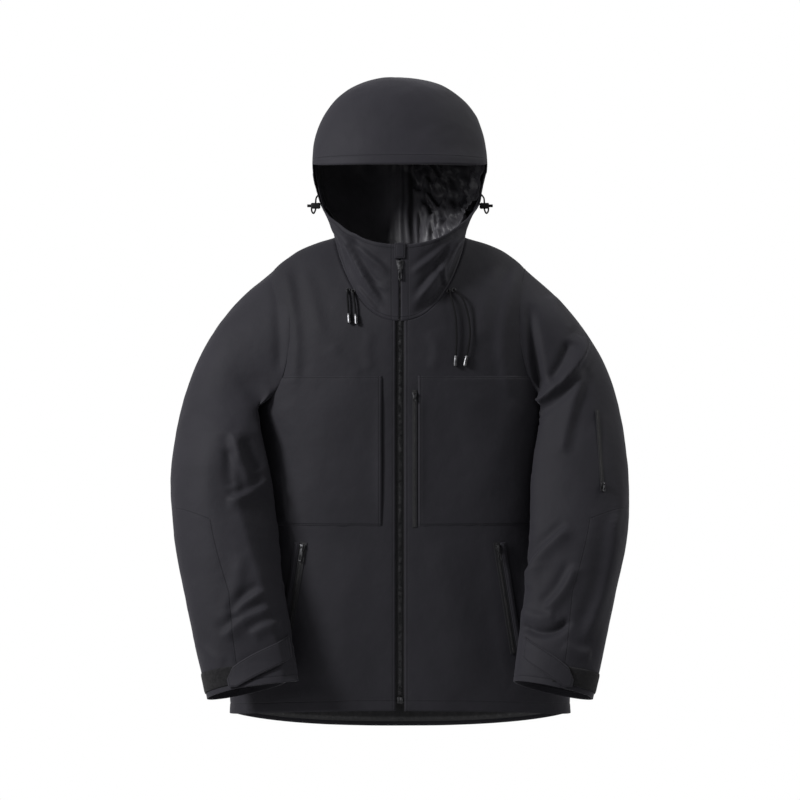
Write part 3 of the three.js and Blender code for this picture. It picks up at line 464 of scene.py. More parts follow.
# %% [markdown]
# ## How the shell cloth moves
# The front is fairly smooth: broad soft waves, a pull or two, and fine puckers along the seams.
# Near the zips the cloth is held still, so that nothing rises through them.

# %% Where the cloth is held still
SHELL_THICKNESS, LINING_THICKNESS = 1.3, 0.6
SEAM_WIDTH = 1.8
FAR = 99  # stands for a seam that isn't there
HEM_DEPTH = 16
ZIP_GAP, ZIP_STITCHING = 7.0, 11.5  # from the middle of the front zip
HAND_POCKET = [(150.5, -466), (177, -632)]


def segment_distance(points, a, b):
    p = np.stack([np.abs(points[..., 0]), points[..., 2]], -1)
    a, b = np.array(a, float), np.array(b, float)
    t = np.clip(((p - a) @ (b - a)) / np.sum((b - a) ** 2), 0, 1)
    return np.linalg.norm(p - (a + t[..., None] * (b - a)), axis=-1)


def body_calm(points):
    x, y, z = np.moveaxis(points, -1, 0)
    front = y < -30
    calm = np.where(front, smoothstep(np.abs(x), 10, 60) * 0.9 + 0.1, 1.0)
    pocket = smoothstep(segment_distance(points, *HAND_POCKET), 7, 34)
    calm = calm * np.where(front, pocket * 0.92 + 0.08, 1.0)
    chest = smoothstep(np.abs(x - 22.5), 4, 20)
    return calm * np.where(front & (z < -215) & (z > -445), chest, 1.0)


BODY_FOLDS = [
    # (line seen from the front, width, height, steepness)
    ([(-182, -25), (-171, -84), (-162, -154), (-168, -232)], 11, 3.2, 0.5),
    ([(-156, -25), (-137, -84), (-121, -147)], 13, 1.8, 0.3),
    ([(-44, -131), (-50, -162), (-44, -196)], 9, 1.4, 0.3),
    ([(-109, -154), (-86, -181), (-59, -200)], 10, 1.2, 0.3),
    ([(-183, -240), (-156, -302), (-128, -396)], 20, 1.8, 0.2),
    ([(-202, -349), (-182, -396), (-171, -442)], 12, 2.2, 0.3),
    ([(-109, -224), (-121, -318), (-109, -419)], 24, 1.3, 0.0),
    ([(-53, -458), (-75, -520), (-93, -613), (-100, -707)], 26, 1.5, 0.2),
    ([(-202, -489), (-215, -567), (-233, -644), (-246, -714)], 15, 2.0, 0.3),
    ([(-156, -489), (-162, -567), (-171, -691)], 20, 1.4, 0.2),
    ([(185, -25), (168, -84), (159, -162), (174, -240)], 11, 3.2, -0.5),
    ([(156, -25), (135, -84), (121, -154)], 13, 2.0, -0.3),
    ([(44, -131), (56, -162), (47, -196)], 9, 1.4, -0.3),
    ([(187, -240), (156, -302), (128, -396)], 20, 1.8, -0.2),
    ([(109, -217), (121, -318), (106, -419)], 24, 1.4, 0.0),
    ([(53, -458), (75, -520), (93, -613), (100, -707)], 26, 1.5, -0.2),
    ([(202, -489), (215, -567), (230, -644), (243, -714)], 15, 2.0, -0.3),
    ([(156, -489), (162, -567), (171, -691)], 20, 1.4, -0.2),
]
BACK_FOLDS = [
    ([(-150, -60), (-122, -130), (-100, -215)], 13, 5.0, 0.5),
    ([(-118, -40), (-88, -100), (-70, -190)], 12, 3.5, 0.4),
    ([(150, -60), (124, -130), (98, -220)], 13, 5.0, -0.5),
    ([(112, -36), (92, -110), (66, -185)], 12, 3.5, -0.4),
    ([(-30, -160), (-46, -290), (-34, -430)], 20, 3.2, 0.3),
    ([(74, -180), (60, -320), (78, -450)], 20, 3.4, -0.3),
    ([(-205, -270), (-160, -370), (-70, -430)], 15, 4.5, 0.5),
    ([(-210, -350), (-150, -440), (-40, -480)], 16, 4.0, 0.5),
    ([(208, -280), (160, -390), (62, -450)], 15, 4.5, -0.5),
    ([(214, -370), (150, -460), (30, -500)], 16, 4.0, -0.5),
    ([(-180, -480), (-158, -600), (-172, -735)], 18, 3.6, 0.3),
    ([(-90, -520), (-70, -620), (-84, -750)], 20, 3.0, 0.2),
    ([(160, -500), (178, -610), (158, -735)], 18, 3.6, -0.3),
    ([(40, -520), (58, -630), (40, -755)], 22, 3.0, -0.2),
]


def body_moved(points, normals):
    move = noise(points, np.array([95, 95, 150.0]), 1) * 2.2
    move += noise(points, 46, 2) * 0.9 + noise(points, 19, 3) * 0.28
    move += lay_folds(points, normals, BODY_FOLDS, -1) + lay_folds(points, normals, BACK_FOLDS, 1)
    return move * body_calm(points)


def pucker(distance, points, size=9.0, height=0.32, reach=9.0):
    """Small gathers of the cloth along a seam."""
    ripple = noise(points, np.array([size, size, size]), 5)
    return height * ripple * bell(distance, reach)


def sewn(move, base, seams, depth):
    """Each seam draws a groove in the cloth and puckers it."""
    for distance in seams:
        move = move + pucker(distance, base) - depth * bell(distance, SEAM_WIDTH)
    return move


print("cloth field ready")

# %% [markdown]
# ## Front panels and back
# Each front is one cloth from the zip to the side seam; the back is a yoke and a panel. A seam is a
# narrow groove with a row of stitches beside it, and the cloth puckers a little along it.

# %% Fronts
STEP = 3.6
body_rows = even_stations(BODY, 40, 0, NECK_STATION, STEP)


def panel(name, turns, stations, seams, nodes):
    base = ring_point(BODY, turns, stations)
    normals = ring_normal(BODY, turns, stations, NECK_STATION)
    shift = body_moved(base, normals) * smoothstep(NECK_STATION - stations, 0, 0.5)
    shift = sewn(shift, base, seams, 0.5)
    points = base + normals * shift[..., None]
    piece = cloth_piece(name, points, normals, SHELL_THICKNESS, seams)
    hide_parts(*nodes)
    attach(piece, "jacket")
    return piece


shell_pieces = []
for name, side in (("right", -1), ("left", 1)):
    start = turn_for_x(BODY, ZIP_GAP, body_rows)
    turns, stations = ring_grid(BODY, body_rows, start, 90, 96)
    turns = turns * side
    base = ring_point(BODY, turns, stations)
    hem = run_up(base) - HEM_DEPTH
    edge = np.abs(base[..., 0]) - ZIP_STITCHING
    shell_pieces.append(panel(
        f"{name}_front_cloth", turns, stations, [hem, edge], [f"{name}_front_panel"]))

# %% Back yoke and back panel
YOKE_STATION = 4.5
for name, low, high in (("back_panel", 0, YOKE_STATION), ("back_yoke", YOKE_STATION, NECK_STATION)):
    rows = even_stations(BODY, 150, low, high, STEP)
    turns, stations = ring_grid(BODY, rows, 90, 270, 176)
    base = ring_point(BODY, turns, stations)
    run = run_up(base)
    if low == 0:
        seams = [run - HEM_DEPTH, run[-1:] - run - 1.0]
    else:
        seams = [run - 1.0]
    shell_pieces.append(panel(name + "_cloth", turns, stations, seams, [name]))

# %% [markdown]
# ## Chest pockets
# A patch covers each side of the chest from the yoke line down. Its edge beside the zip is open and
# stands off a little, so it casts a thin dark line.

# %% Chest pockets
CHEST_TOP, CHEST_BOTTOM, CHEST_EDGE = -200.8, -438.0, 28.5


def station_for_z(rings, turns, z):
    low, high = np.zeros_like(turns), np.full_like(turns, float(NECK_STATION))
    for _ in range(34):
        middle = (low + high) / 2
        below = ring_point(rings, turns, middle)[..., 2] < z
        low, high = np.where(below, middle, low), np.where(below, high, middle)
    return (low + high) / 2


for name, side in (("right", -1), ("left", 1)):
    z_rows = np.linspace(CHEST_BOTTOM, CHEST_TOP, 78)
    middle_station = station_for_z(BODY, np.full(78, 40.0), z_rows)
    turns, _ = ring_grid(BODY, middle_station, turn_for_x(BODY, CHEST_EDGE, middle_station), 84, 72)
    stations = station_for_z(BODY, turns, z_rows[:, None] + 0 * turns)
    turns = turns * side
    base = ring_point(BODY, turns, stations)
    x, z = np.abs(base[..., 0]), base[..., 2]
    edge, top, bottom = x - CHEST_EDGE, CHEST_TOP - z, z - CHEST_BOTTOM
    normals = ring_normal(BODY, turns, stations, NECK_STATION)
    gape = 1.7 * bell(edge, 9) * smoothstep(np.minimum(top, bottom), 8, 60)
    gape = gape * (1 + 0.35 * noise(base, 40, 8))
    sewn_edge = np.minimum(top, bottom)
    shift = body_moved(base, normals) + gape + 1.5 - 2.3 * bell(sewn_edge, 3.2)
    shift += pucker(sewn_edge, base, 9, 0.45, 12)
    piece = cloth_piece(f"{name}_chest_patch", base + normals * shift[..., None], normals, 1.2,
                        [edge - 4.5, sewn_edge - 4.5])
    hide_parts(f"{name}_chest_pocket")
    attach(piece, "jacket")
    shell_pieces.append(piece)

# %% [markdown]
# ## Sleeves
# A sleeve is a tube round a bent arm, sewn to the body along the armhole. Its head is drawn out to
# the armhole's line, and below it the cloth hangs clear of the body. Sleeves crease more than
# anything else here: sharp bends at the elbow and a stack of folds above the cuff.

# %% The sleeve's surface
SLEEVE_PATH = np.array([
    [160, 5, -84], [221, 2, -138], [259, -8, -208], [279, -30, -288], [286, -62, -368],
    [283, -92, -448], [271, -114, -528], [255, -132, -608], [237, -150, -688.0],
])
SLEEVE_RADII = [70, 66, 71, 74, 74, 71, 66, 63, 62]
SLEEVE_DEPTHS = [78, 78, 74, 70, 66, 62, 58, 55, 52]
CUFF_STATION = 8.0
ELBOW_SHARE = 4.55
SHARE_LENGTH = 86  # mm of arm from one whole share to the next
ARM_CLEARANCE = 11
BULGE = {-1: [0, 18, 30, 30, 28], 1: [0, 14, 15, 14, 3]}  # how far the slack falls inward


def sleeve_centre(side, station):
    p = np.stack([smooth_at(SLEEVE_PATH[:, k], station) for k in range(3)], -1)
    return p * np.array([side, 1, 1])


body_z_table = np.linspace(0, NECK_STATION, 400)


def body_reach(y, z):
    station = np.interp(z, smooth_at(BODY["side_z"], body_z_table), body_z_table)
    depth = np.where(y < 0, FRONT_DEPTH, smooth_at(BODY["back_y"], station))
    inside = np.clip(1 - (np.abs(y) / depth) ** 2.4, 0, 1)
    return smooth_at(BODY["half_width"], station) * inside ** (1 / 2.4)


def sleeve_frame(side, station):
    along = unit(sleeve_centre(side, station + 0.02) - sleeve_centre(side, station - 0.02))
    outward = unit(np.cross(np.array([0.0, 1.0, 0.0]), along))
    outward = outward * np.sign(outward[..., :1] * side)
    forward = unit(np.cross(outward, along))
    forward = forward * -np.sign(forward[..., 1:2])
    return along, outward, forward


def plain_sleeve(side, turn, station):
    turn, station = np.broadcast_arrays(np.asarray(turn, float), np.asarray(station, float))
    _, outward, forward = sleeve_frame(side, station)
    c, s = np.cos(np.radians(turn)), np.sin(np.radians(turn))
    point = (sleeve_centre(side, station)
             + outward * (smooth_at(SLEEVE_RADII, station) * c)[..., None]
             + forward * (smooth_at(SLEEVE_DEPTHS, station) * s)[..., None])
    free = np.clip(station - 1.4, 0, 1)
    around = (turn + 180) % 360 - 180
    bulge = np.interp(station, [2.6, 3.8, 5.0, 6.8, 8.0], BULGE[side])
    bulge = bulge * bell(around - 146, 42)
    point = point - np.array([side, 0, 0]) * bulge[..., None]
    reach = body_reach(point[..., 1], point[..., 2]) + ARM_CLEARANCE
    out = side * point[..., 0]
    clear = (out + reach + np.sqrt((out - reach) ** 2 + 60)) / 2
    x = side * (out + (clear - out) * free)
    return np.stack([x, point[..., 1], point[..., 2]], -1)


def sleeve_point(side, turn, share):
    """share runs from 0 at the armhole to 8 at the cuff; turn 0 is outside, 90 the front."""
    turn, share = np.broadcast_arrays(np.asarray(turn, float), np.asarray(share, float))
    first = 1.0 * (1 - np.cos(np.radians(turn)))
    station = first + (CUFF_STATION - first) * share / CUFF_STATION
    point = plain_sleeve(side, turn, station)
    start = plain_sleeve(side, turn, first)
    s, c = np.sin(np.radians(turn)), np.cos(np.radians(turn))
    pull, flat = (43, 0.45) if side < 0 else (36, 0.7)
    arm_turn = side * (90 - pull * signed_power(s, flat))
    arm_station = 4.45 + 0.95 * c
    armhole = ring_point(BODY, arm_turn, arm_station)
    armhole = armhole + 0.6 * ring_normal(BODY, arm_turn, arm_station, NECK_STATION)
    return point + (armhole - start) * (1 - smoothstep(share, 0, 1.25))[..., None]


print("sleeve length", round(float(np.sum(np.linalg.norm(np.diff(
    sleeve_point(1, np.zeros(200), np.linspace(0, 8, 200)), axis=0), axis=1)))), "mm")

# %% How the sleeves crease
RIGHT_SLEEVE_FOLDS = [  # on the wearer's right, so on the left as one looks at the jacket
    ([(-199, -35), (-191, -69), (-187, -116), (-185, -158), (-185, -203)], 10, -9.0, 0.0),
    ([(-261, -287), (-252, -321), (-239, -355), (-230, -380)], 8, 6.0, -0.4),
    ([(-267, -396), (-246, -391), (-224, -378), (-205, -360)], 8, 6.5, 0.5),
    ([(-243, -299), (-230, -327), (-218, -349)], 8, -5.0, 0.0),
    ([(-264, -312), (-264, -349), (-258, -374)], 9, -4.0, 0.0),
    ([(-342, -259), (-302, -271), (-255, -284)], 16, 1.6, 0.2),
    ([(-255, -573), (-243, -556), (-227, -543), (-208, -531)], 8, 7.0, 0.7),
    ([(-271, -607), (-252, -585), (-227, -570), (-199, -560)], 9, 6.0, 0.6),
    ([(-274, -585), (-261, -560), (-249, -520), (-244, -473)], 11, 3.5, -0.3),
    ([(-230, -601), (-208, -588), (-183, -582)], 8, 5.0, 0.5),
    ([(-317, -613), (-292, -629), (-267, -644)], 9, 2.0, 0.3),
]
LEFT_SLEEVE_FOLDS = [
    ([(295, -128), (289, -165), (261, -206), (230, -234), (205, -256), (193, -290)], 10, 11.0, 0.8),
    ([(201, -84), (205, -123), (210, -162), (216, -203), (222, -237)], 9, -14.0, 0.0),
    ([(269, -147), (255, -181), (236, -212)], 9, -7.0, 0.0),
    ([(289, -187), (275, -234), (261, -287), (252, -327)], 10, 6.0, 0.5),
    ([(243, -69), (258, -103), (277, -131)], 14, 2.5, 0.0),
    ([(193, -535), (205, -498), (222, -473), (243, -453), (264, -433)], 8, 7.5, 0.75),
    ([(222, -563), (238, -546), (253, -526), (272, -489)], 8, 7.0, 0.7),
    ([(280, -613), (299, -567), (314, -526), (328, -450), (336, -338)], 11, 5.5, 0.6),
    ([(185, -585), (210, -595), (238, -593), (263, -574)], 7, -10.0, 0.0),
    ([(187, -563), (211, -573), (238, -570)], 9, 4.0, 0.3),
    ([(249, -613), (274, -626), (295, -629)], 9, 3.0, 0.3),
    ([(197, -349), (205, -396), (199, -442)], 10, 3.0, -0.3),
]
SLEEVE_FOLDS = {-1: RIGHT_SLEEVE_FOLDS, 1: LEFT_SLEEVE_FOLDS}


def sleeve_moved(side, turn, share, points, normals):
    """Ridges run round the arm; they gather at the elbow and above the cuff."""
    q = np.stack([share * SHARE_LENGTH / 27.0, np.cos(np.radians(turn)) * 1.15 + side * 3,
                  np.sin(np.radians(turn)) * 1.15], -1)
    n = noise(q, 1.0, 12)
    ridge = 1 - np.sqrt(n * n * 4 + 0.02)
    busy = 0.2 + 0.8 * bell(share - 4.9, 1.1) + 1.0 * bell(share - 7.0, 0.7)
    inner = smoothstep(-np.cos(np.radians(turn - 35)), -0.5, 0.8)
    move = ridge * 1.5 * busy * (0.12 + 0.88 * inner)
    move += noise(points, np.array([60, 60, 85.0]), 4) * 2.0
    move += noise(points, 27, 6) * (0.35 + 0.5 * inner) + noise(points, 13, 7) * 0.2
    move += lay_folds(points, normals, SLEEVE_FOLDS[side], -1)
    ends = smoothstep(share, 0.02, 0.5) * (0.35 + 0.65 * smoothstep(8 - share, 0.1, 0.8))
    if side > 0:
        d = np.hypot((turn - 62) * 1.1, np.clip(np.abs(share - 3.75) - 0.75, 0, 9) * SHARE_LENGTH)
        ends = ends * (0.12 + 0.88 * smoothstep(d, 6, 30))
    return move * ends


# How the slack of the wearer's right sleeve folds over the body: height, the crease's place and
# depth, the inner edge's place and depth, and how far the crease stands proud, all in mm
CREASE = np.array([
    (-644, -180, -188, -156, -135, 0), (-585, -199, -183, -164, -112, 4),
    (-532, -211, -179, -169, -107, 8), (-481, -227, -173, -174, -105, 13),
    (-440, -238, -167, -178, -104, 18), (-397, -249, -159, -184, -102, 24),
    (-341, -255, -148, -192, -104, 32), (-290, -247, -136, -200, -98, 35),
    (-254, -226, -114, -203, -94, 23), (-215, -212, -90, -200, -86, 8),
])


def fall_back(side, turn, share, points):
    """Beyond the crease the cloth runs straight back to the body."""
    if side > 0:
        return points
    x, y, z = np.moveaxis(points, -1, 0)
    crease_x, crease_y, edge_x, edge_y, proud = (
        np.interp(z, CREASE[:, 0], CREASE[:, k]) for k in range(1, 6))
    outside = np.maximum(crease_x - x, 0)
    front = smoothstep(np.sin(np.radians(turn)), -0.3, 0.75)
    pushed = y - proud * bell(outside, 80) * front
    along = np.clip((x - crease_x) / (edge_x - crease_x), 0, 1.2)
    slope_y = crease_y + (edge_y - crease_y) * along
    moved = (pushed + slope_y + np.sqrt((pushed - slope_y) ** 2 + 25)) / 2
    weight = np.interp(z, [-675, -640, -250, -205], [0, 1, 1, 0]) * smoothstep(share, 0.0, 0.5)
    out = np.array(points)
    out[..., 1] = y + (moved - y) * weight
    return out


def sleeve_cloth(side, turn, share, lift=0.0, calm=1.0):
    base = sleeve_point(side, turn, share)
    across = sleeve_point(side, turn + 5, share) - sleeve_point(side, turn - 5, share)
    along = (sleeve_point(side, turn, np.minimum(share + 0.08, 8))
             - sleeve_point(side, turn, np.maximum(share - 0.08, 0)))
    normals = unit(np.cross(across, along))
    out = base - sleeve_centre(side, share)
    normals = normals * np.sign(np.sum(normals * out, -1, keepdims=True) + 1e-9)
    move = sleeve_moved(side, turn, share, base, normals) * calm
    return fall_back(side, turn, share, base), normals, move + lift


# %% Sleeves
def sleeve_grid(rows, columns, low=0.0, high=CUFF_STATION):
    share = np.linspace(low, high, rows)[:, None] + np.zeros(columns)
    turn = np.linspace(0, 360, columns, endpoint=False) + np.zeros((rows, 1))
    return turn, share


for name, side in (("right", -1), ("left", 1)):
    turn, share = sleeve_grid(236, 156)
    base, normals, move = sleeve_cloth(side, turn, share)
    seam_turn = np.interp(share, [ELBOW_SHARE, 6.0, 7.6], [82, 92, 84])
    around = (turn - seam_turn + 180) % 360 - 180
    back = (turn - 285 + 180) % 360 - 180
    seam_long = np.where(share > ELBOW_SHARE, around * 1.15, FAR)
    seam_long = np.where(np.abs(seam_long) < np.abs(back * 1.15), seam_long, back * 1.15)
    seam_elbow = (share - ELBOW_SHARE) * SHARE_LENGTH
    seam_elbow = np.where((turn > 285) | (turn < 82), seam_elbow, FAR)
    seam_hem = (8 - share) * SHARE_LENGTH - 18
    move = sewn(move, base, (seam_long, seam_hem), 0.6)
    move = move + 0.7 * bell(share * SHARE_LENGTH, 7)
    points = base + normals * move[..., None]
    piece = cloth_piece(f"{name}_sleeve_cloth", points, normals, SHELL_THICKNESS,
                        [seam_long, seam_elbow, seam_hem], closed=True)
    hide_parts(f"{name}_top_sleeve", f"{name}_under_sleeve")
    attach(piece, "jacket")
    shell_pieces.append(piece)

# %% [markdown]
# ## Hood and collar
# The collar stands up all round and meets the hood's sides; the hood is a smooth dome with a short
# stiff brim over the face. Both follow one set of rings.

# %% Hood
FACE_EDGE_TURN = 82.0
HOOD_STEP = 3.4
COLLAR_GAP = 1.2  # half the gap between the two halves of the collar
COLLAR_FOLDS = [
    ([(-117, 52), (-104, 31), (-82, 12), (-65, -25), (-47, -60), (-26, -94)], 6, 7.5, 0.7),
    ([(-86, 18), (-62, -4), (-34, -27), (-11, -47)], 5, 5.0, 0.5),
    ([(-109, 15), (-96, -19), (-86, -53), (-75, -81)], 8, -8.0, 0.0),
    ([(-93, 21), (-84, -25), (-75, -66)], 4, 3.5, -0.4),
    ([(-59, -41), (-37, -60), (-12, -69)], 4, 3.0, 0.4),
    ([(-68, -63), (-50, -84), (-31, -112)], 4, 3.2, 0.4),
    ([(-75, -72), (-68, -91), (-59, -112)], 4, 2.6, 0.3),
    ([(-25, -57), (-12, -53), (-5, -52)], 3, 1.6, 0.2),
    ([(-44, -109), (-25, -108), (-6, -109)], 3, 1.6, 0.2),
    ([(117, 52), (103, 27), (86, 9), (67, -25), (44, -60), (19, -91)], 6, 7.5, -0.7),
    ([(86, 18), (62, -7), (34, -29), (12, -44)], 5, 4.5, -0.5),
    ([(109, 12), (96, -25), (78, -60), (47, -94), (19, -119)], 11, -11.0, 0.0),
    ([(81, -60), (68, -47), (59, -25)], 4, 3.5, 0.4),
    ([(81, -69), (62, -84), (47, -109)], 4, 3.0, -0.3),
    ([(90, -72), (96, -47), (100, -25)], 4, 3.0, 0.3),
]


def hood_moved(points, normals):
    x, y, z = np.moveaxis(points, -1, 0)
    move = noise(points, np.array([70, 70, 60.0]), 21) * 2.0 + noise(points, 30, 22) * 0.9
    move += noise(points, 14, 23) * 0.35
    brim = smoothstep(z, 134, 165)
    rim = np.where(y < 0, 0.3 + 0.7 * brim, 1.0)
    move = move * np.where(z > 120, rim, 1.0)
    calm_front = np.where((y < -60) & (z < 20), smoothstep(np.abs(x), 8, 34), 1.0)
    lock = np.hypot(np.abs(x) - 134, z - 69)
    return (move + lay_folds(points, normals, COLLAR_FOLDS, -1)) * calm_front * (
        0.15 + 0.85 * smoothstep(np.where(y < 20, lock, 99), 9, 26))


hood_rows = np.concatenate([
    even_stations(HOOD, 90, RIM_STATION, EAR_STATION, HOOD_STEP)[:-1],
    even_stations(HOOD, 90, EAR_STATION, TOP_STATION, HOOD_STEP),
])
HOOD_COLUMNS = 240
BACK_COLUMNS = HOOD_COLUMNS * 3 // 4  # the rest run across the brim
TOP_ROWS = 5


def hood_turns(stations, edge):
    """Turns from one face edge round the back to the other, and across the brim above."""
    back, _ = ring_grid(HOOD, stations, edge, 360 - edge, BACK_COLUMNS)
    front, _ = ring_grid(HOOD, stations, -edge, edge, HOOD_COLUMNS - BACK_COLUMNS + 2)
    return np.concatenate([back, front[:, 1:-1] + 360], 1)


def close_top(points, normals, rows=TOP_ROWS):
    """Rows that run in to the crown, so the dome has no hole; their normals point up."""
    last = points[-1]
    middle = last.mean(0) + np.array([0, 0, 0.35])
    share = np.linspace(0, 1, rows + 1)[1:, None, None]
    inner = last + (middle - last) * share * 0.985
    upright = np.array([0, 0, 1.0]) + 0 * inner
    return np.concatenate([points, inner]), np.concatenate([normals, upright])


def hood_shape(turns, stations):
    """The hood's rings with the brim pushed a little forward."""
    point = ring_point(HOOD, turns, stations)
    front = np.clip(np.cos(np.radians(turns)), 0, 1) ** 0.8
    brim = np.exp(-(np.maximum(point[..., 2] - BRIM_Z, 0) / 34) ** 1.5) * (point[..., 2] > 100)
    point[..., 1] -= 16 * front * brim
    point[..., 2] -= (9.0 + 4.0 * np.abs(np.sin(np.radians(turns))) ** 3) * front * brim
    return point


turns = hood_turns(hood_rows, FACE_EDGE_TURN)
stations = hood_rows[:, None] + 0 * turns
base = hood_shape(turns, stations)
normals = ring_normal(HOOD, turns, stations, TOP_STATION)
x, y, z = np.moveaxis(base, -1, 0)
face_columns = np.arange(turns.shape[1]) >= BACK_COLUMNS - 1
below_brim = hood_rows < EAR_STATION - 1e-6
keep = ~(below_brim[:, None] & face_columns[None, :])
keep[:, BACK_COLUMNS - 1] = ~below_brim
in_face = np.abs((turns + 180) % 360 - 180) < FACE_EDGE_TURN + 0.01
side_edge = np.minimum(np.abs(turns - FACE_EDGE_TURN), np.abs(turns - (360 - FACE_EDGE_TURN))) * 2.2
edge_distance = np.where(in_face & (z > BRIM_Z - 0.1), z - BRIM_Z,
                         np.where(z < BRIM_Z, side_edge, np.hypot(side_edge, z - BRIM_Z)))
CROWN_HALF_WIDTH, CROSS_SEAM_Y = 62, 12
crown_seam = np.where(y > CROSS_SEAM_Y, np.abs(x) - CROWN_HALF_WIDTH, FAR)
cross_seam = np.where(np.abs(x) < CROWN_HALF_WIDTH, y - CROSS_SEAM_Y, FAR)
move = hood_moved(base, normals) * smoothstep(stations, RIM_STATION, RIM_STATION + 0.4)
move = sewn(move, base, (crown_seam, cross_seam), 0.6)
move = move + 0.9 * bell(edge_distance, 5)
points = base + normals * move[..., None]
grow, padded_normals = close_top(points, normals)


def more_rows(values, fill):
    return np.concatenate([values, np.full((TOP_ROWS, values.shape[1]), fill)])


hood_shell = cloth_piece(
    "hood_cloth", grow, padded_normals, 1.5,
    [more_rows(distance, 99.0) for distance in (edge_distance - 5.5, crown_seam, cross_seam)],
    keep=more_rows(keep, True), closed=True)
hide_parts("hood_front_panel", "hood_crown_panel", "hood_right_side", "hood_left_side")
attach(hood_shell, "jacket")
shell_pieces.append(hood_shell)

# %% Collar
collar_rows = even_stations(HOOD, 0, 0, RIM_STATION, HOOD_STEP)
for name, side in (("right", -1), ("left", 1)):
    turns, stations = ring_grid(
        HOOD, collar_rows, turn_for_x(HOOD, COLLAR_GAP, collar_rows), 180, 132)
    turns = turns * side
    base = ring_point(HOOD, turns, stations)
    normals = ring_normal(HOOD, turns, stations, TOP_STATION)
    run = run_up(base)
    rim = run[-1:] - run
    front = np.abs(turns) < FACE_EDGE_TURN
    edge = np.abs(base[..., 0]) - COLLAR_GAP
    move = hood_moved(base, normals) * smoothstep(run, 0, 16) + 0.8 * bell(rim, 5) * front
    move = move * np.where(front, 1, smoothstep(rim, 0, 14)) + 0.3
    move = sewn(move, base, (run - 0.5, np.where(front, rim - 6, FAR)), 0.5)
    points = base + normals * move[..., None]
    piece = cloth_piece(f"{name}_collar_cloth", points, normals, 2.2,
                        [run - 6, np.where(front, rim - 6, FAR),
                         np.where(base[..., 1] < -50, edge - 12, FAR)])
    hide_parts(f"{name}_collar")
    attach(piece, "jacket")
    shell_pieces.append(piece)


# %% [markdown]
# ## Linings
# Inside, a shiny lining follows the shell a few millimetres in. In the hood it is fuller than the
# shell, so it hangs in long soft pleats, and behind the wearer's left ear it bunches up.

# %% Hood lining
LINING_STEP = 4.0
PLEATS = [  # across the back of the hood, in mm of x; width and height
    (-96, 14, 4), (-62, 18, 5), (5, 17, 15), (-13, 5, 4), (3, 4, 3), (17, 5, 5), (34, 6, 5),
]
lining_rows = np.concatenate([
    even_stations(HOOD, 180, 0.1, EAR_STATION, LINING_STEP)[:-1],
    even_stations(HOOD, 90, EAR_STATION, TOP_STATION, LINING_STEP),
])
turns = hood_turns(lining_rows, 90)
stations = lining_rows[:, None] + 0 * turns
base = hood_shape(turns, stations)
hang = smoothstep(stations, 1.4, 0.1) * smoothstep(base[..., 1], -20, 30)
base[..., 2] -= 24 * hang
base[..., 1] -= 13 * hang
normals = ring_normal(HOOD, turns, stations, TOP_STATION)
x, y, z = np.moveaxis(base, -1, 0)
pleats = 0 * x
lean = (z - 70) * 0.32
for place, width, height in PLEATS:
    slip = noise(base, np.array([60, 60, 40.0]), 31) * 5
    pleats += height * bell(x - place - lean * (x > 30) + slip, width)
pleats = pleats * smoothstep(y, -10, 50) * smoothstep(z, 262, 190) * (1 - 0.5 * hang)
bunched = smoothstep(x + 0.25 * (z - 60), 26, 52) * smoothstep(z, 190, 140) * smoothstep(y, -40, 10)
crinkle = np.stack([x + 0.5 * z, y, z - 0.6 * x], -1)
for size, height, seed in ((26, 11, 31), (14, 5, 32), (9, 2.2, 33)):
    n = noise(crinkle, np.array([size * 0.62, size, size * 1.5]), seed)
    pleats += bunched * height * (1 - np.sqrt(n * n * 5 + 0.01))
move = -4.2 - pleats + noise(base, 40, 34) * 1.6 + noise(base, 14, 35) * 0.5
near_brim = bell(z - BRIM_Z, 12) * (y < -20)
move = move + near_brim * 1.2
points = base + normals * np.minimum(move, -2.4)[..., None]
face_columns = np.arange(turns.shape[1]) >= BACK_COLUMNS - 1
below_brim = lining_rows < EAR_STATION - 1e-6
keep = ~(below_brim[:, None] & face_columns[None, :])
grow, padded_normals = close_top(points, normals)
hood_lining = cloth_piece("hood_lining_cloth", grow, padded_normals, LINING_THICKNESS, [],
                          keep=more_rows(keep, True), closed=True)
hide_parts("hood_lining")

# %% Facings of shell cloth round the face
facing_rows = even_stations(HOOD, 90, RIM_STATION - 0.3, EAR_STATION, HOOD_STEP)
for name, side in (("right", -1), ("left", 1)):
    wide = np.interp(facing_rows, [RIM_STATION - 0.3, 2.6, 3.3, EAR_STATION],
                     [46, 42, 28, 14] if side > 0 else [16, 15, 13, 12])
    turns, stations = ring_grid(HOOD, facing_rows, FACE_EDGE_TURN + 0.5, FACE_EDGE_TURN + wide, 14)
    turns = turns * side
    base = ring_point(HOOD, turns, stations)
    normals = ring_normal(HOOD, turns, stations, TOP_STATION)
    inner = np.linspace(0, 1, 14)
    lift = -2.6 - 3.2 * smoothstep(inner, 0.1, 1) + noise(base, 25, 36) * 0.8
    piece = cloth_piece(f"{name}_face_facing", base + normals * lift[..., None], normals, 1.1,
                        [np.broadcast_to((1 - inner) * 30 - 3, turns.shape)])
    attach(piece, "jacket")
    shell_pieces.append(piece)

# %% Body lining, powder skirt and sleeve linings
lining_pieces = [hood_lining]
rows = even_stations(BODY, 40, 0.08, NECK_STATION, 9)
for name, side in (("right", -1), ("left", 1)):
    turns, stations = ring_grid(BODY, rows, turn_for_x(BODY, 20.0, rows), 180, 60)
    turns = turns * side
    base = ring_point(BODY, turns, stations)
    normals = ring_normal(BODY, turns, stations, NECK_STATION)
    move = -6.2 + noise(base, np.array([40, 40, 110.0]), 41) * 2.0
    piece = cloth_piece(f"{name}_body_lining", base + normals * move[..., None], normals,
                        LINING_THICKNESS)
    lining_pieces.append(piece)
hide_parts("body_lining")

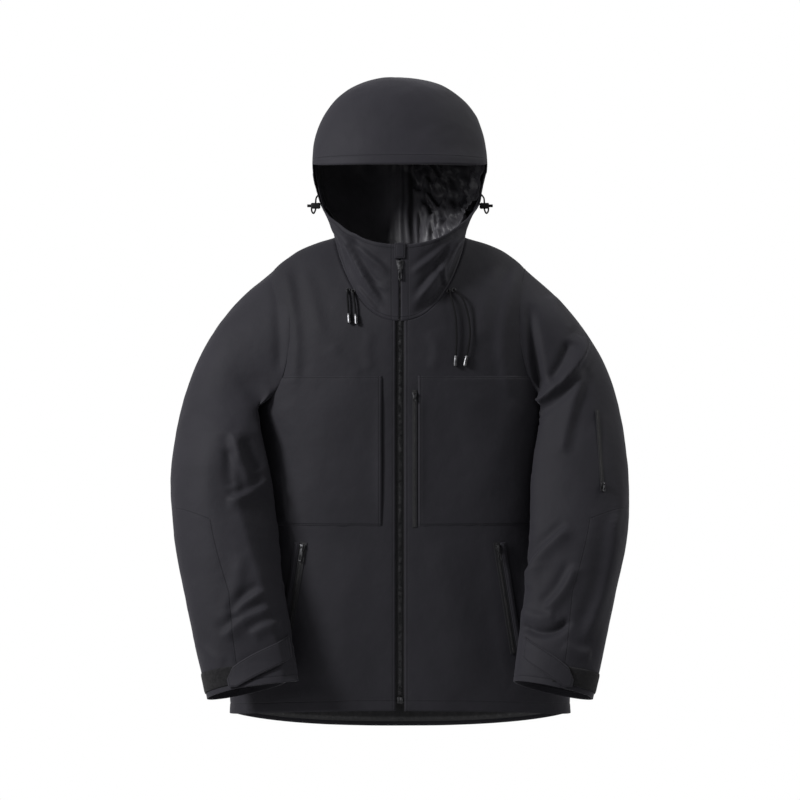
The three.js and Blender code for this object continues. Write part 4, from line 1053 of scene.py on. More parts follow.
rows = np.linspace(0.12, 1.15, 26)
turns, stations = ring_grid(BODY, rows, turn_for_x(BODY, 26.0, rows), 360 - 6, 220)
base = ring_point(BODY, turns, stations)
normals = ring_normal(BODY, turns, stations, NECK_STATION)
run = np.linspace(0, 1, 220)
loose = smoothstep(rows, 0.2, 0.9)[:, None]
gathers = np.sin(run * 2 * math.pi * 62) * (2.2 * (1 - loose) + 0.6)
move = -15 - 5 * (1 - loose) + gathers + noise(base, 30, 42) * 1.5
skirt = cloth_piece("powder_skirt_cloth", base + normals * move[..., None], normals, 0.8,
                    [np.broadcast_to(((rows - 0.12) * 139 - 14)[:, None], turns.shape)])
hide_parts("powder_skirt")
lining_pieces.append(skirt)

for name, side in (("right", -1), ("left", 1)):
    turn, share = sleeve_grid(110, 72, 0.35, 7.75)
    base, normals, folds = sleeve_cloth(side, turn, share)
    base = base + normals * np.minimum(folds - 2, 0)[..., None]
    middle = base.mean(1, keepdims=True)
    snug = np.interp(share, [0.35, 1.2, 6.9, 7.6], [0.95, 0.87, 0.87, 0.9])
    base = middle + (base - middle) * snug[..., None]
    move = smoothstep(share, 7.2, 7.7) * noise(base, 12, 43) * 2.5
    piece = cloth_piece(f"{name}_sleeve_inside", base + normals * move[..., None], normals,
                        LINING_THICKNESS, closed=True)
    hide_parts(f"{name}_sleeve_lining")
    lining_pieces.append(piece)
for piece in lining_pieces:
    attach(piece, "jacket")

# %% [markdown]
# ## Cuffs
# A hook-and-loop patch lies round the front of each cuff, and a stiff pointed tab sewn to the inner
# side presses onto it.

# %% Cuff patches and tabs
PATCH_TURNS, PATCH_SHARES = (-30, 98), (7.47, 7.84)
TAB_TURNS = (70, 146)  # from the point to the sewn end
TAB_LENGTH, TAB_HALF_WIDTH, TAB_TILT = 96, 19.5, 0.68
patch_pieces = []
for name, side in (("right", -1), ("left", 1)):
    (from_turn, to_turn), (from_share, to_share) = PATCH_TURNS, PATCH_SHARES
    turn = np.linspace(from_turn, to_turn, 60) + np.zeros((14, 1))
    share = np.linspace(from_share, to_share, 14)[:, None] + np.zeros(60)
    base, normals, move = sleeve_cloth(side, turn, share, 1.9)
    rim = np.minimum(np.minimum(turn - from_turn, to_turn - turn) * 1.1,
                     np.minimum(share - from_share, to_share - share) * SHARE_LENGTH)
    move = move - 0.9 * bell(rim, 2)
    piece = cloth_piece(f"{name}_cuff_loop_patch", base + normals * move[..., None], normals, 1.2,
                        [rim - 2])
    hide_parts(f"{name}_cuff_patch")
    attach(piece, "jacket")
    patch_pieces.append(piece)

    tip = np.linspace(0, 1, 46)  # 0 at the point, 1 at the sewn end
    tilt = TAB_TILT * (tip - 0.3)
    half = np.minimum(1, 0.42 + tip * 4.6)[None, :] * TAB_HALF_WIDTH
    across = np.linspace(-1, 1, 16)[:, None] * half
    turn = np.interp(tip, [0, 1], TAB_TURNS)[None, :] + 0 * across
    share = 7.6 - tilt[None, :] + across / SHARE_LENGTH
    base, normals, move = sleeve_cloth(side, turn, share, 4.6)
    lift = 0.7 * bell(tip, 0.1) - 2.4 * smoothstep(tip, 0.62, 1.0)
    rim = np.minimum(half - np.abs(across), (tip * TAB_LENGTH)[None, :] + 0 * across)
    move = move + lift - 0.5 * bell(rim, 1.6)
    piece = cloth_piece(f"{name}_cuff_strap", base + normals * move[..., None], normals, 2.0,
                        [rim - 3.2, (1 - tip)[None, :] * TAB_LENGTH - 6 + 0 * across])
    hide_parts(f"{name}_cuff_tab")
    sewn, point = to_metres(base[8, [-1, 0]])
    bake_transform(piece)
    shell_pieces.append(piece)

# %% [markdown]
# ## Small cloth parts
# Welts beside the hand pockets, the guard over the top of the zip, the zip tapes and the loop to
# hang the jacket by.


# %% Flat strips
def strip(name, corners, rows, columns, thickness, bulge=0.0, wave=0.0):
    """A thin cloth strip between four corners in metres, bulging a little along its middle."""
    a, b, c, d = (np.array(p, float) for p in corners)
    v, u = np.meshgrid(np.linspace(0, 1, rows), np.linspace(0, 1, columns), indexing="ij")
    u, v = u[..., None], v[..., None]
    points = (a * (1 - u) + b * u) * (1 - v) + (d * (1 - u) + c * u) * v
    normal = unit(np.cross(b - a, d - a))
    if normal[1] > 0:
        normal = -normal
    mm = points * 1000 - np.array([0, middle_y * 1000, 0])
    lift = bulge * (1 - (2 * u[..., 0] - 1) ** 2) + wave * noise(mm, 26, 51)
    width, height = np.linalg.norm(b - a) * 1000, np.linalg.norm(d - a) * 1000
    rim = np.minimum(np.minimum(u, 1 - u) * width, np.minimum(v, 1 - v) * height)[..., 0]
    normals = np.broadcast_to(normal, points.shape)
    return cloth_piece(name, mm + normals * lift[..., None], normals, thickness, [rim - 2.0])


def frame_axes(child):
    """A slider's way along its zip, across it and out of it, and its puller's pivot."""
    along = across = pivot = None
    for joint in frame["joints"]:
        if joint["child"] == child and joint["type"] == "slide":
            along = np.array(joint["axis"], float)
        if joint["parent"] == child and joint["type"] == "hinge":
            across = -np.array(joint["axis"], float)
            pivot = np.array(joint["pos_m"], float)
    out = unit(np.cross(along, across))
    if out[1] > 0:
        out = -out
    return along / np.linalg.norm(along), across / np.linalg.norm(across), out, pivot


def node_points(node):
    mesh = frame["nodes"][node].data
    points = np.zeros(len(mesh.vertices) * 3)
    mesh.vertices.foreach_get("co", points)
    matrix = np.array(frame["nodes"][node].matrix_world)
    return points.reshape(-1, 3) @ matrix[:3, :3].T + matrix[:3, 3]


def oriented_box(node, along, across, out):
    points = node_points(node)
    return [(float((points @ k).min()), float((points @ k).max())) for k in (across, along, out)]


cloth_small = []
for name, side in (("right", -1), ("left", 1)):
    along, across, out, _ = frame_axes(f"{name}_pocket_slider")
    (u0, u1), (v0, v1), (w0, w1) = oriented_box(f"{name}_pocket_welt", along, across, out)
    top = w0 + (w1 - w0) * 0.6
    corners = [u * across + v * along + top * out for u, v in
               ((u0, v0), (u1, v0), (u1, v1), (u0, v1))]
    piece = strip(f"{name}_pocket_welt_cloth", corners, 46, 9, 1.0, 0.9, 0.5)
    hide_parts(f"{name}_pocket_welt")
    cloth_small.append(piece)
low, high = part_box("chin_guard")
piece = strip("chin_guard_cloth", [(low.x, low.y, low.z), (high.x, low.y, low.z),
                                   (high.x, low.y, high.z), (low.x, low.y, high.z)],
              14, 10, 1.6, 0.8, 0.3)
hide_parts("chin_guard")
cloth_small.append(piece)
for piece in cloth_small:
    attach(piece, "jacket")
shell_pieces += cloth_small

tape_pieces = []
for name, side in (("right", -1), ("left", 1)):
    low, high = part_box(f"main_zip_{name}_tape")
    piece = strip(f"main_zip_{name}_tape_cloth",
                  [(low.x, low.y, low.z), (high.x, low.y, low.z), (high.x, low.y, high.z),
                   (low.x, low.y, high.z)], 170, 8, 0.7, 0.0, 0.25)
    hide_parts(f"main_zip_{name}_tape")
    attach(piece, "jacket")
    tape_pieces.append(piece)

low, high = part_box("hanger_loop")
reach = np.linspace(0, math.pi, 40)
middle = (high.y + low.y) / 2
loop_route = [(float(-30 * math.cos(a)), float((middle - middle_y) * 1000 - 0.2
              + 1.6 * math.cos(a) ** 2), float(-6.6 + 4.6 * math.sin(a))) for a in reach]
loop, _ = tube("hanger_loop_cord", loop_route, 3.0, 40, 12)
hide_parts("hanger_loop")
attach(loop, "jacket")


# %% [markdown]
# ## Zip teeth
# The front zip has moulded teeth, a dark nickel grey that catches the light. One tooth is a cube
# drawn out and bevelled; copies run down one tape, and a second row sits half a step lower.


# %% Primitives with their faces chosen in code
def start_cube(name, size, place=(0, 0, 0)):
    bpy.ops.object.select_all(action="DESELECT")
    bpy.ops.mesh.primitive_cube_add(size=1, location=(0, 0, 0))
    piece = bpy.context.active_object
    piece.name = piece.data.name = name
    bpy.ops.object.mode_set(mode="EDIT")
    bpy.ops.mesh.select_all(action="SELECT")
    bpy.ops.transform.resize(value=size, center_override=(0, 0, 0))
    bpy.ops.transform.translate(value=place)
    bpy.ops.object.mode_set(mode="OBJECT")
    return piece


def start_cylinder(name, radius, depth, sides=24, axis="Z", place=(0, 0, 0)):
    bpy.ops.object.select_all(action="DESELECT")
    turn = {"X": (0, math.pi / 2, 0), "Y": (math.pi / 2, 0, 0), "Z": (0, 0, 0)}[axis]
    bpy.ops.mesh.primitive_cylinder_add(vertices=sides, radius=radius, depth=depth, rotation=turn)
    piece = bpy.context.active_object
    piece.name = piece.data.name = name
    bpy.ops.object.transform_apply(location=True, rotation=True, scale=True)
    piece.data.transform(Matrix.Translation(place))
    return piece


def soften(piece, width, segments=2):
    bevel = piece.modifiers.new("bevel", "BEVEL")
    bevel.width, bevel.segments, bevel.limit_method = width, segments, "ANGLE"
    bevel.angle_limit = math.radians(40)
    apply_all(piece)


def joined(name, pieces):
    bpy.ops.object.select_all(action="DESELECT")
    for piece in pieces:
        piece.select_set(True)
    bpy.context.view_layer.objects.active = pieces[0]
    if len(pieces) > 1:
        bpy.ops.object.join()
    pieces[0].name = pieces[0].data.name = name
    return pieces[0]


def carve(piece, cutter):
    cut = piece.modifiers.new("cut", "BOOLEAN")
    cut.operation, cut.object, cut.solver = "DIFFERENCE", cutter, "EXACT"
    apply_all(piece)
    bpy.data.objects.remove(cutter)


def smooth(piece, angle=38):
    only(piece)
    bpy.ops.object.shade_smooth_by_angle(angle=math.radians(angle))


def in_a_row(piece, step, count):
    row = piece.modifiers.new("row", "ARRAY")
    row.use_relative_offset, row.use_constant_offset = False, True
    row.constant_offset_displace, row.count = step, count
    apply_all(piece)


def from_axes(across, along, out):
    """Turns a piece built along x, y and z to lie along the zip's own directions."""
    return Matrix([[across[k], along[k], out[k], 0] for k in range(3)] + [[0, 0, 0, 1]])


MM = 0.001

# %% Front zip teeth
low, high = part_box("main_zip_chain")
PITCH = 2.4 * MM
teeth_pieces = []
for name, side in (("right", -1), ("left", 1)):
    tooth = start_cube(f"main_zip_{name}_teeth", (3.3 * MM, 1.7 * MM, 1.15 * MM),
                       (side * 1.35 * MM, (low.y + high.y) / 2, 0))
    tip = start_cube("tip", (1.3 * MM, 2.1 * MM, 1.5 * MM),
                     (-side * 0.1 * MM, (low.y + high.y) / 2, 0))
    tooth = joined(f"main_zip_{name}_teeth", [tooth, tip])
    soften(tooth, 0.28 * MM, 1)
    offset = PITCH * (0.25 if side < 0 else 0.75)
    tooth.data.transform(Matrix.Translation((0, 0, low.z + offset + 0.4 * MM)))
    in_a_row(tooth, (0, 0, PITCH), int((high.z - low.z - 1.4 * MM) / PITCH))
    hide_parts("main_zip_chain")
    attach(tooth, "jacket")
    teeth_pieces.append(tooth)
    print(tooth.name, len(tooth.data.polygons), "faces")

low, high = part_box("main_zip_end_box")
middle = (low + high) / 2
end_box = start_cube("main_zip_bottom_box", (high.x - low.x, high.y - low.y, high.z - low.z),
                     middle)
groove = start_cube("groove", (0.7 * MM, 1.0 * MM, 7 * MM), (0, low.y, middle.z + 2 * MM))
carve(end_box, groove)
soften(end_box, 0.5 * MM, 2)
smooth(end_box)
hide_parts("main_zip_end_box")
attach(end_box, "jacket")

# %% [markdown]
# ## Pocket zips
# The pocket zips are narrow closed coils on a woven tape, set into a slit with a folded edge.

# %% Coil zips in their tapes
coil_pieces = []
for node in ("right_pocket", "left_pocket", "chest_pocket", "sleeve_pocket"):
    along, across, out, _ = frame_axes(f"{node}_slider")
    (u0, u1), (v0, v1), (w0, w1) = oriented_box(f"{node}_zip", along, across, out)
    middle_u = (u0 + u1) / 2
    place = from_axes(across, along, out)
    tape = start_cube(f"{node}_zip_tape", (u1 - u0, v1 - v0, (w1 - w0) * 0.55),
                      (middle_u, (v0 + v1) / 2, w0 + (w1 - w0) * 0.275))
    soften(tape, 0.2 * MM, 1)
    tape.data.transform(place)
    tape.name = f"{node}_zip_tape"
    pitch = 1.1 * MM
    coil = start_cube(f"{node}_zip_coil", (3.0 * MM, 0.62 * MM, 0.8 * MM),
                      (middle_u, v0 + pitch, w0 + (w1 - w0) * 0.55 + 0.25 * MM))
    soften(coil, 0.2 * MM, 1)
    in_a_row(coil, (0, pitch, 0), int((v1 - v0 - 1.6 * MM) / pitch))
    coil.data.transform(place)
    for piece, slot in ((tape, "zip_tape"), (coil, "zip_teeth")):
        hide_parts(f"{node}_zip")
        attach(piece, "jacket")
        make_outward(piece)
    tape_pieces.append(tape)
    coil_pieces.append(coil)
print(len(coil_pieces), "coils")

# %% [markdown]
# ## Sliders and pullers
# A slider is a small die-cast body with a bridge; a puller is a flat tab that swings from the
# bridge, with a slot near its end.

# %% Sliders and pullers
SLIDERS = {  # length of the body and width of the puller, in mm
    "main_zip": (14, 6), "right_pocket": (10, 5.4), "left_pocket": (10, 5.4),
    "chest_pocket": (8.5, 4.4), "sleeve_pocket": (8.5, 4.4),
}
metal_pieces = []
for node, (length, tab) in SLIDERS.items():
    along, across, out, pivot = frame_axes(f"{node}_slider")
    (u0, u1), (v0, v1), (w0, w1) = oriented_box(f"{node}_slider", along, across, out)
    place = from_axes(across, along, out)
    p = np.array([pivot @ across, pivot @ along, pivot @ out])
    mid_u, mid_v = (u0 + u1) / 2, (v0 + v1) / 2
    roof = p[2] - 2.2 * MM  # top face of the slider's body
    body = start_cube(f"{node}_slider_body", ((u1 - u0), (v1 - v0), roof - w0),
                      (mid_u, mid_v, (roof + w0) / 2))
    for vertex in body.data.vertices:  # the lower end narrows to the closed teeth
        if vertex.co.y < mid_v:
            vertex.co.x = mid_u + (vertex.co.x - mid_u) * 0.66
    channel = start_cube("channel", ((u1 - u0) * 0.58, (v1 - v0) * 1.5, (roof - w0) * 0.5),
                         (mid_u, mid_v, w0 + (roof - w0) * 0.2))
    carve(body, channel)
    soften(body, 0.45 * MM, 2)
    bridge = start_cube("bridge", (3.6 * MM, length * 0.5 * MM, p[2] + 0.9 * MM - roof),
                        (mid_u, p[1], (p[2] + 0.9 * MM + roof) / 2 - 0.1 * MM))
    hole = start_cylinder("hole", 0.95 * MM, 9 * MM, 16, "X", (p[0], p[1], p[2] - 0.25 * MM))
    carve(bridge, hole)
    soften(bridge, 0.4 * MM, 2)
    slider = joined(f"{node}_slider_metal", [body, bridge])
    slider.data.transform(place)
    make_outward(slider)
    smooth(slider)
    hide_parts(f"{node}_slider")
    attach(slider, f"{node}_slider")

    ring = start_cylinder("ring", 1.75 * MM, 1.2 * MM, 24, "X", (p[0], p[1], p[2]))
    hole = start_cylinder("hole", 0.75 * MM, 4 * MM, 16, "X", (p[0], p[1], p[2]))
    carve(ring, hole)
    soften(ring, 0.2 * MM, 1)
    (u0, u1), (v0, v1), (w0, w1) = oriented_box(f"{node}_puller", along, across, out)
    neck_top, bottom = p[1] - 1.3 * MM, v0
    tab_length = neck_top - bottom
    plate = start_cube("plate", (tab * MM, tab_length, 1.35 * MM),
                       (p[0], bottom + tab_length / 2, p[2]))
    for vertex in plate.data.vertices:  # a tab waisted towards its ring
        if vertex.co.y > bottom + tab_length * 0.5:
            vertex.co.x = p[0] + (vertex.co.x - p[0]) * 0.5
    slot_cut = start_cube("slot_cut", (tab * 0.42 * MM, tab_length * 0.34, 4 * MM),
                          (p[0], bottom + tab_length * 0.27, p[2]))
    soften(slot_cut, tab * 0.1 * MM, 3)
    carve(plate, slot_cut)
    soften(plate, 0.35 * MM, 3)
    puller = joined(f"{node}_puller_metal", [plate, ring])
    puller.data.transform(place)
    make_outward(puller)
    smooth(puller)
    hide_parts(f"{node}_puller")
    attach(puller, f"{node}_puller")
    metal_pieces += [slider, puller]
    print(node, "slider", len(slider.data.polygons), "puller", len(puller.data.polygons))

# %% [markdown]
# ## Cord tips, eyelets and cord locks
# The drawcords end in tapered metal-capped tips. Each leaves the collar through a small eyelet. On
# both sides of the hood an elastic loop runs through a push-button cord lock.

# %% Cord tips
TIP_PROFILE = [  # distance from the cord's end and radius, in mm
    (0.3, 2.2), (1.2, 2.5), (2.2, 2.55), (2.5, 2.2), (3.0, 2.2), (3.3, 2.65),
    (14.6, 3.0), (15.4, 2.95), (15.6, 2.6), (16.2, 2.6), (16.9, 1.9), (17.2, 0.9),
]
TIP_SIDES = 24
tip_points = np.array([
    (r * math.cos(a), r * math.sin(a), d) for d, r in TIP_PROFILE
    for a in np.linspace(0, 2 * math.pi, TIP_SIDES, endpoint=False)]) * MM
tip_faces = []
for k in range(len(TIP_PROFILE) - 1):
    for j in range(TIP_SIDES):
        this, after = k * TIP_SIDES, (k + 1) * TIP_SIDES
        n = (j + 1) % TIP_SIDES
        tip_faces.append([this + j, this + n, after + n, after + j])
last_ring = (len(TIP_PROFILE) - 1) * TIP_SIDES
tip_faces += [list(range(TIP_SIDES))[::-1], [last_ring + j for j in range(TIP_SIDES)]]
tip_pieces = []
for node in CORDS:
    cord_line = cords[node][1]
    way = Vector(unit(cord_line[-1] - cord_line[-3]).tolist())
    tip_node = node.replace("drawcord", "cord_tip")
    tip = mesh_piece(tip_node + "_barrel", tip_points, tip_faces)
    turn = way.to_track_quat("Z", "Y").to_matrix().to_4x4()
    tip.data.transform(Matrix.Translation(cord_line[-1].tolist()) @ turn)
    make_outward(tip)
    smooth(tip)
    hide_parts(tip_node)
    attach(tip, "jacket")
    tip_pieces.append(tip)
    length = float(np.sum(np.linalg.norm(np.diff(cord_line, axis=0), axis=1)))

# %% Eyelets
EYELET_RADIUS, EYELET_WIRE = 2.9 * MM, 0.75 * MM
eyelet_pieces = []
for node, route in CORDS.items():
    normal = unit(np.array(body_front(route[0][0], route[0][2] - 1, 5))
                  - np.array(body_front(route[0][0], route[0][2] - 1, 0)))
    bpy.ops.object.select_all(action="DESELECT")
    bpy.ops.mesh.primitive_torus_add(major_radius=EYELET_RADIUS, minor_radius=EYELET_WIRE,
                                     major_segments=28, minor_segments=10)
    eyelet = bpy.context.active_object
    eyelet.name = eyelet.data.name = node.replace("drawcord", "eyelet")
    turn = Vector(normal.tolist()).to_track_quat("Z", "Y").to_matrix().to_4x4()
    middle = to_metres(np.array(route[0]) - normal * 0.9)
    eyelet.data.transform(Matrix.Translation(middle.tolist()) @ turn)
    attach(eyelet, "jacket")
    eyelet_pieces.append(eyelet)

# %% Cord locks on the hood
LOOP_ROUTE = [(-6, 8, 20), (-1, 2, 13), (0, 0, 5), (0, 0, -5), (3, -2, -12), (6, -3, -9),
              (6.5, -3.5, -3)]  # mm out from, behind and above the middle of the lock
lock_pieces, elastic_pieces = [], []
for name, side in (("right", -1), ("left", 1)):
    low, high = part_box(f"hood_{name}_cord_lock")
    b_low, b_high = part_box(f"hood_{name}_lock_button")
    middle, size = (low + high) / 2, high - low
    housing = start_cube(f"hood_{name}_lock_housing", tuple(size), tuple(middle))
    bore = start_cylinder("bore", 2.0 * MM, 30 * MM, 20, "Z", tuple(middle))
    carve(housing, bore)
    soften(housing, 2.0 * MM, 4)
    rib = start_cube("rib", (1.2 * MM, size.y + 0.6 * MM, size.z + 0.6 * MM),
                     (middle.x - side * size.x * 0.3, middle.y, middle.z))
    soften(rib, 0.5 * MM, 2)
    housing = joined(f"hood_{name}_lock_housing", [housing, rib])
    make_outward(housing)
    smooth(housing)
    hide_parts(f"hood_{name}_cord_lock")
    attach(housing, "jacket")
    stub = start_cylinder(f"hood_{name}_lock_plunger", (b_high.z - b_low.z) / 2,
                          b_high.x - b_low.x, 28, "X", tuple((b_low + b_high) / 2))
    soften(stub, 0.7 * MM, 3)
    smooth(stub)
    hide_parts(f"hood_{name}_lock_button")
    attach(stub, f"hood_{name}_lock_button")
    m = np.array(middle) * 1000 - np.array([0, middle_y * 1000, 0])
    loop_route = [(m[0] + side * x, m[1] + y, m[2] + z) for x, y, z in LOOP_ROUTE]
    elastic, _ = tube(f"hood_{name}_elastic", loop_route, 2.6, 46, 12)
    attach(elastic, "jacket")
    lock_pieces += [housing, stub]
    elastic_pieces.append(elastic)


# %% [markdown]
# ## Materials
# The shell is a matt, tightly woven near-black nylon with a faint violet cast; the lining is a
# satin with a long soft sheen. Stitches and seams come from the distances kept on each piece.


# %% Node helpers
class Nodes:
    def __init__(self, name):
        self.material = bpy.data.materials.new(name)
        self.material.use_nodes = True
        self.tree = self.material.node_tree
        self.shader = self.tree.nodes["Principled BSDF"]

    def node(self, kind, **values):
        node = self.tree.nodes.new(kind)
        for key, value in values.items():
            if key in node.bl_rna.properties:
                setattr(node, key, value)
            else:
                node.inputs[key.replace("_", " ")].default_value = value
        return node

    def link(self, a, b):
        self.tree.links.new(a, b)

    def wire(self, value, socket):
        if isinstance(value, (int, float)):
            socket.default_value = value
        else:
            self.link(value, socket)

    def math(self, operation, a, b=0.0, c=0.0, clamp=False):
        node = self.tree.nodes.new("ShaderNodeMath")
        node.operation, node.use_clamp = operation, clamp
        for value, socket in zip((a, b, c), node.inputs):
            self.wire(value, socket)
        return node.outputs[0]

    def ramp(self, value, low, high, bottom=0.0, top=1.0):
        node = self.tree.nodes.new("ShaderNodeMapRange")
        node.interpolation_type = "SMOOTHSTEP"
        self.wire(value, node.inputs["Value"])
        for key, number in zip(("From Min", "From Max", "To Min", "To Max"),
                               (low, high, bottom, top)):
            node.inputs[key].default_value = number
        return node.outputs["Result"]

    def place(self, source="UV"):
        if source == "UV":
            node = self.node("ShaderNodeUVMap")
            node.uv_map = "weave"
            return node.outputs["UV"]
        return self.node("ShaderNodeTexCoord").outputs["Object"]

    def noise(self, vector, scale, detail=3.0, roughness=0.55):
        node = self.node("ShaderNodeTexNoise")
        node.inputs["Scale"].default_value = scale
        node.inputs["Detail"].default_value = detail
        node.inputs["Roughness"].default_value = roughness
        self.link(vector, node.inputs["Vector"])
        return node.outputs["Fac"]

    def wave(self, vector, scale, direction="X"):
        node = self.node("ShaderNodeTexWave")
        node.bands_direction = direction
        node.inputs["Scale"].default_value = scale
        self.link(vector, node.inputs["Vector"])
        return node.outputs["Fac"]

    def distance(self, name):
        node = self.node("ShaderNodeAttribute")
        node.attribute_name = name
        return node.outputs["Fac"]

    def colours(self, value, stops):
        node = self.tree.nodes.new("ShaderNodeValToRGB")
        self.link(value, node.inputs["Fac"])
        ramp = node.color_ramp
        while len(ramp.elements) < len(stops):
            ramp.elements.new(0.5)
        for element, (at, colour) in zip(ramp.elements, stops):
            element.position, element.color = at, (*colour, 1)
        self.link(node.outputs["Color"], self.shader.inputs["Base Color"])
        return node.outputs["Color"]

    def bumps(self, layers):
        """layers: (height, strength, distance in metres), from the broadest to the finest."""
        normal = None
        for height, strength, distance in layers:
            node = self.tree.nodes.new("ShaderNodeBump")
            node.inputs["Strength"].default_value = strength
            node.inputs["Distance"].default_value = distance
            self.link(height, node.inputs["Height"])
            if normal is not None:
                self.link(normal, node.inputs["Normal"])
            normal = node.outputs["Normal"]
        self.link(normal, self.shader.inputs["Normal"])

    def rough(self, value, grain, share=0.2):
        mixed = self.math("ADD", value, self.math("MULTIPLY", grain, share))
        self.link(mixed, self.shader.inputs["Roughness"])

    def set(self, **values):
        for key, value in values.items():
            self.shader.inputs[key.replace("_", " ")].default_value = value


# %% Shell cloth
SHELL_STOPS = (  # how far up the cloth's pattern, and the colour there
    (0.2, (0.0031, 0.0030, 0.0039)), (0.5, (0.0048, 0.0046, 0.0059)),
    (0.8, (0.0067, 0.0064, 0.0081)),
)


def stitched(n, stitch_from=1.6, stitch_to=2.5):
    """A groove on the seam and a row of stitches beside it."""
    place = n.place("object")
    parts = n.tree.nodes.new("ShaderNodeSeparateXYZ")
    n.link(place, parts.inputs[0])
    run = n.math("ADD", parts.outputs["X"], parts.outputs["Z"])
    dash = n.math("FRACT", n.math("MULTIPLY", run, 1 / 0.0034))
    dash = n.math("LESS_THAN", dash, 0.62)
    groove = stitches = None
    for name in SEAM_NAMES:
        d = n.distance(name)
        away = n.math("ABSOLUTE", d)
        line = n.math("SUBTRACT", 1.0, n.ramp(away, 0.15, 0.9))
        thread = n.math("MULTIPLY", n.math("SUBTRACT", 1.0, n.ramp(
            n.math("ABSOLUTE", n.math("SUBTRACT", d, (stitch_from + stitch_to) / 2)),
            0.12, 0.42)), dash)
        groove = line if groove is None else n.math("MAXIMUM", groove, line)
        stitches = thread if stitches is None else n.math("MAXIMUM", stitches, thread)
    return groove, stitches


# The scale multiplies the cloth's colour: below one it is painted shade, above one painted light,
# at one the cloth's own colour.
def shell_material(name, painted_light_and_shade):
    n = Nodes(name)
    uv, place = n.place("UV"), n.place("object")
    warp, weft = n.wave(uv, 260.0, "X"), n.wave(uv, 230.0, "Y")
    weave = n.math("MULTIPLY", warp, weft)
    grain = n.noise(place, 900.0, 2.0, 0.6)
    crumple = n.noise(place, 62.0, 4.0, 0.52)
    cloud = n.noise(place, 9.0, 3.0, 0.5)
    groove, stitches = stitched(n)
    shade = n.math("ADD", n.math("MULTIPLY", cloud, 0.5), n.math("MULTIPLY", grain, 0.28))
    shade = n.math("ADD", shade, n.math("MULTIPLY", weave, 0.22))
    shade = n.math("ADD", n.math("MULTIPLY", stitches, 0.25), shade)
    # The seam's groove is painted darker in the colour: painted shade in the groove.
    shade = n.math("SUBTRACT", shade, n.math("MULTIPLY", groove, 0.55))
    n.colours(shade, [(at, tuple(painted_light_and_shade * v for v in colour)) for at, colour in SHELL_STOPS])
    n.rough(0.62, grain)
    n.set(Sheen_Weight=0.02, Sheen_Roughness=0.5, Sheen_Tint=(0.8, 0.78, 0.9, 1),
          Specular_IOR_Level=0.05)
    height = n.math("SUBTRACT", stitches, n.math("MULTIPLY", groove, 2.2))
    n.bumps([(crumple, 0.34, 0.0022), (height, 0.6, 0.00035), (grain, 0.22, 0.0003),
             (weave, 0.3, 0.00016)])
    return n.material


def satin_material():
    n = Nodes("satin_lining")
    uv, place = n.place("UV"), n.place("object")
    threads = n.wave(uv, 420.0, "X")
    cloud, crease = n.noise(place, 14.0, 3.0), n.noise(place, 75.0, 4.0, 0.6)
    n.colours(cloud, [(0.3, (0.010, 0.0098, 0.0112)), (0.7, (0.019, 0.0185, 0.0212))])
    n.set(Roughness=0.48, Specular_IOR_Level=0.09, Anisotropic=0.4)
    n.bumps([(crease, 0.35, 0.002), (threads, 0.12, 0.0001)])
    return n.material


# A taffeta for the body, the powder skirt and the sleeves. Its colour is kept far darker than the
# hood's satin as painted shade for the inside.
def taffeta_material():
    n = Nodes("taffeta_painted_shade")
    uv, place = n.place("UV"), n.place("object")
    threads, crease = n.wave(uv, 380.0, "Y"), n.noise(place, 60.0, 4.0, 0.6)
    n.colours(n.noise(place, 18.0), [(0.3, (0.003, 0.003, 0.0034)), (0.7, (0.0055, 0.0053, 0.006))])
    n.set(Roughness=0.6, Specular_IOR_Level=0.1)
    n.bumps([(crease, 0.35, 0.002), (threads, 0.12, 0.0001)])
    return n.material


def patch_material():
    n = Nodes("loop_pile")
    place = n.place("object")
    fuzz, clump = n.noise(place, 1500.0, 3.0, 0.7), n.noise(place, 260.0, 3.0)
    n.colours(clump, [(0.3, (0.002, 0.002, 0.0022)), (0.75, (0.0045, 0.0043, 0.0047))])
    n.set(Roughness=0.95, Sheen_Weight=0.015, Sheen_Roughness=0.6, Specular_IOR_Level=0.03)
    n.bumps([(clump, 0.6, 0.0006), (fuzz, 0.8, 0.0004)])
    return n.material


def tape_material():
    n = Nodes("zip_tape_weave")
    place = n.place("object")
    rib, cross, grain = (n.wave(place, 330.0, "X"), n.wave(place, 300.0, "Z"),
                         n.noise(place, 700.0))
    n.colours(n.math("MULTIPLY", rib, cross),
              [(0.1, (0.003, 0.003, 0.0035)), (0.8, (0.0065, 0.0063, 0.0072))])
    n.rough(0.55, grain, 0.25)
    n.set(Specular_IOR_Level=0.08)
    n.bumps([(rib, 0.4, 0.0002), (cross, 0.3, 0.00015)])
    return n.material


def metal_material(name, dark, light, rough, metallic=1.0):
    n = Nodes(name)
    place = n.place("object")
    wear, fine = n.noise(place, 220.0, 4.0, 0.6), n.noise(place, 1800.0, 2.0)
    n.colours(wear, [(0.35, dark), (0.7, light)])
    n.rough(rough, wear, 0.22)
    n.set(Metallic=metallic)
    n.bumps([(wear, 0.08, 0.0003), (fine, 0.05, 0.0001)])
    return n.material


def plastic_material(name, dark, light, rough, gloss=0.2):
    n = Nodes(name)
    place = n.place("object")
    grain, cloud = n.noise(place, 1300.0, 3.0, 0.6), n.noise(place, 120.0)
    n.colours(cloud, [(0.3, dark), (0.7, light)])
    n.rough(rough, grain)
    n.set(Specular_IOR_Level=gloss)
    n.bumps([(grain, 0.16, 0.0002)])
    return n.material


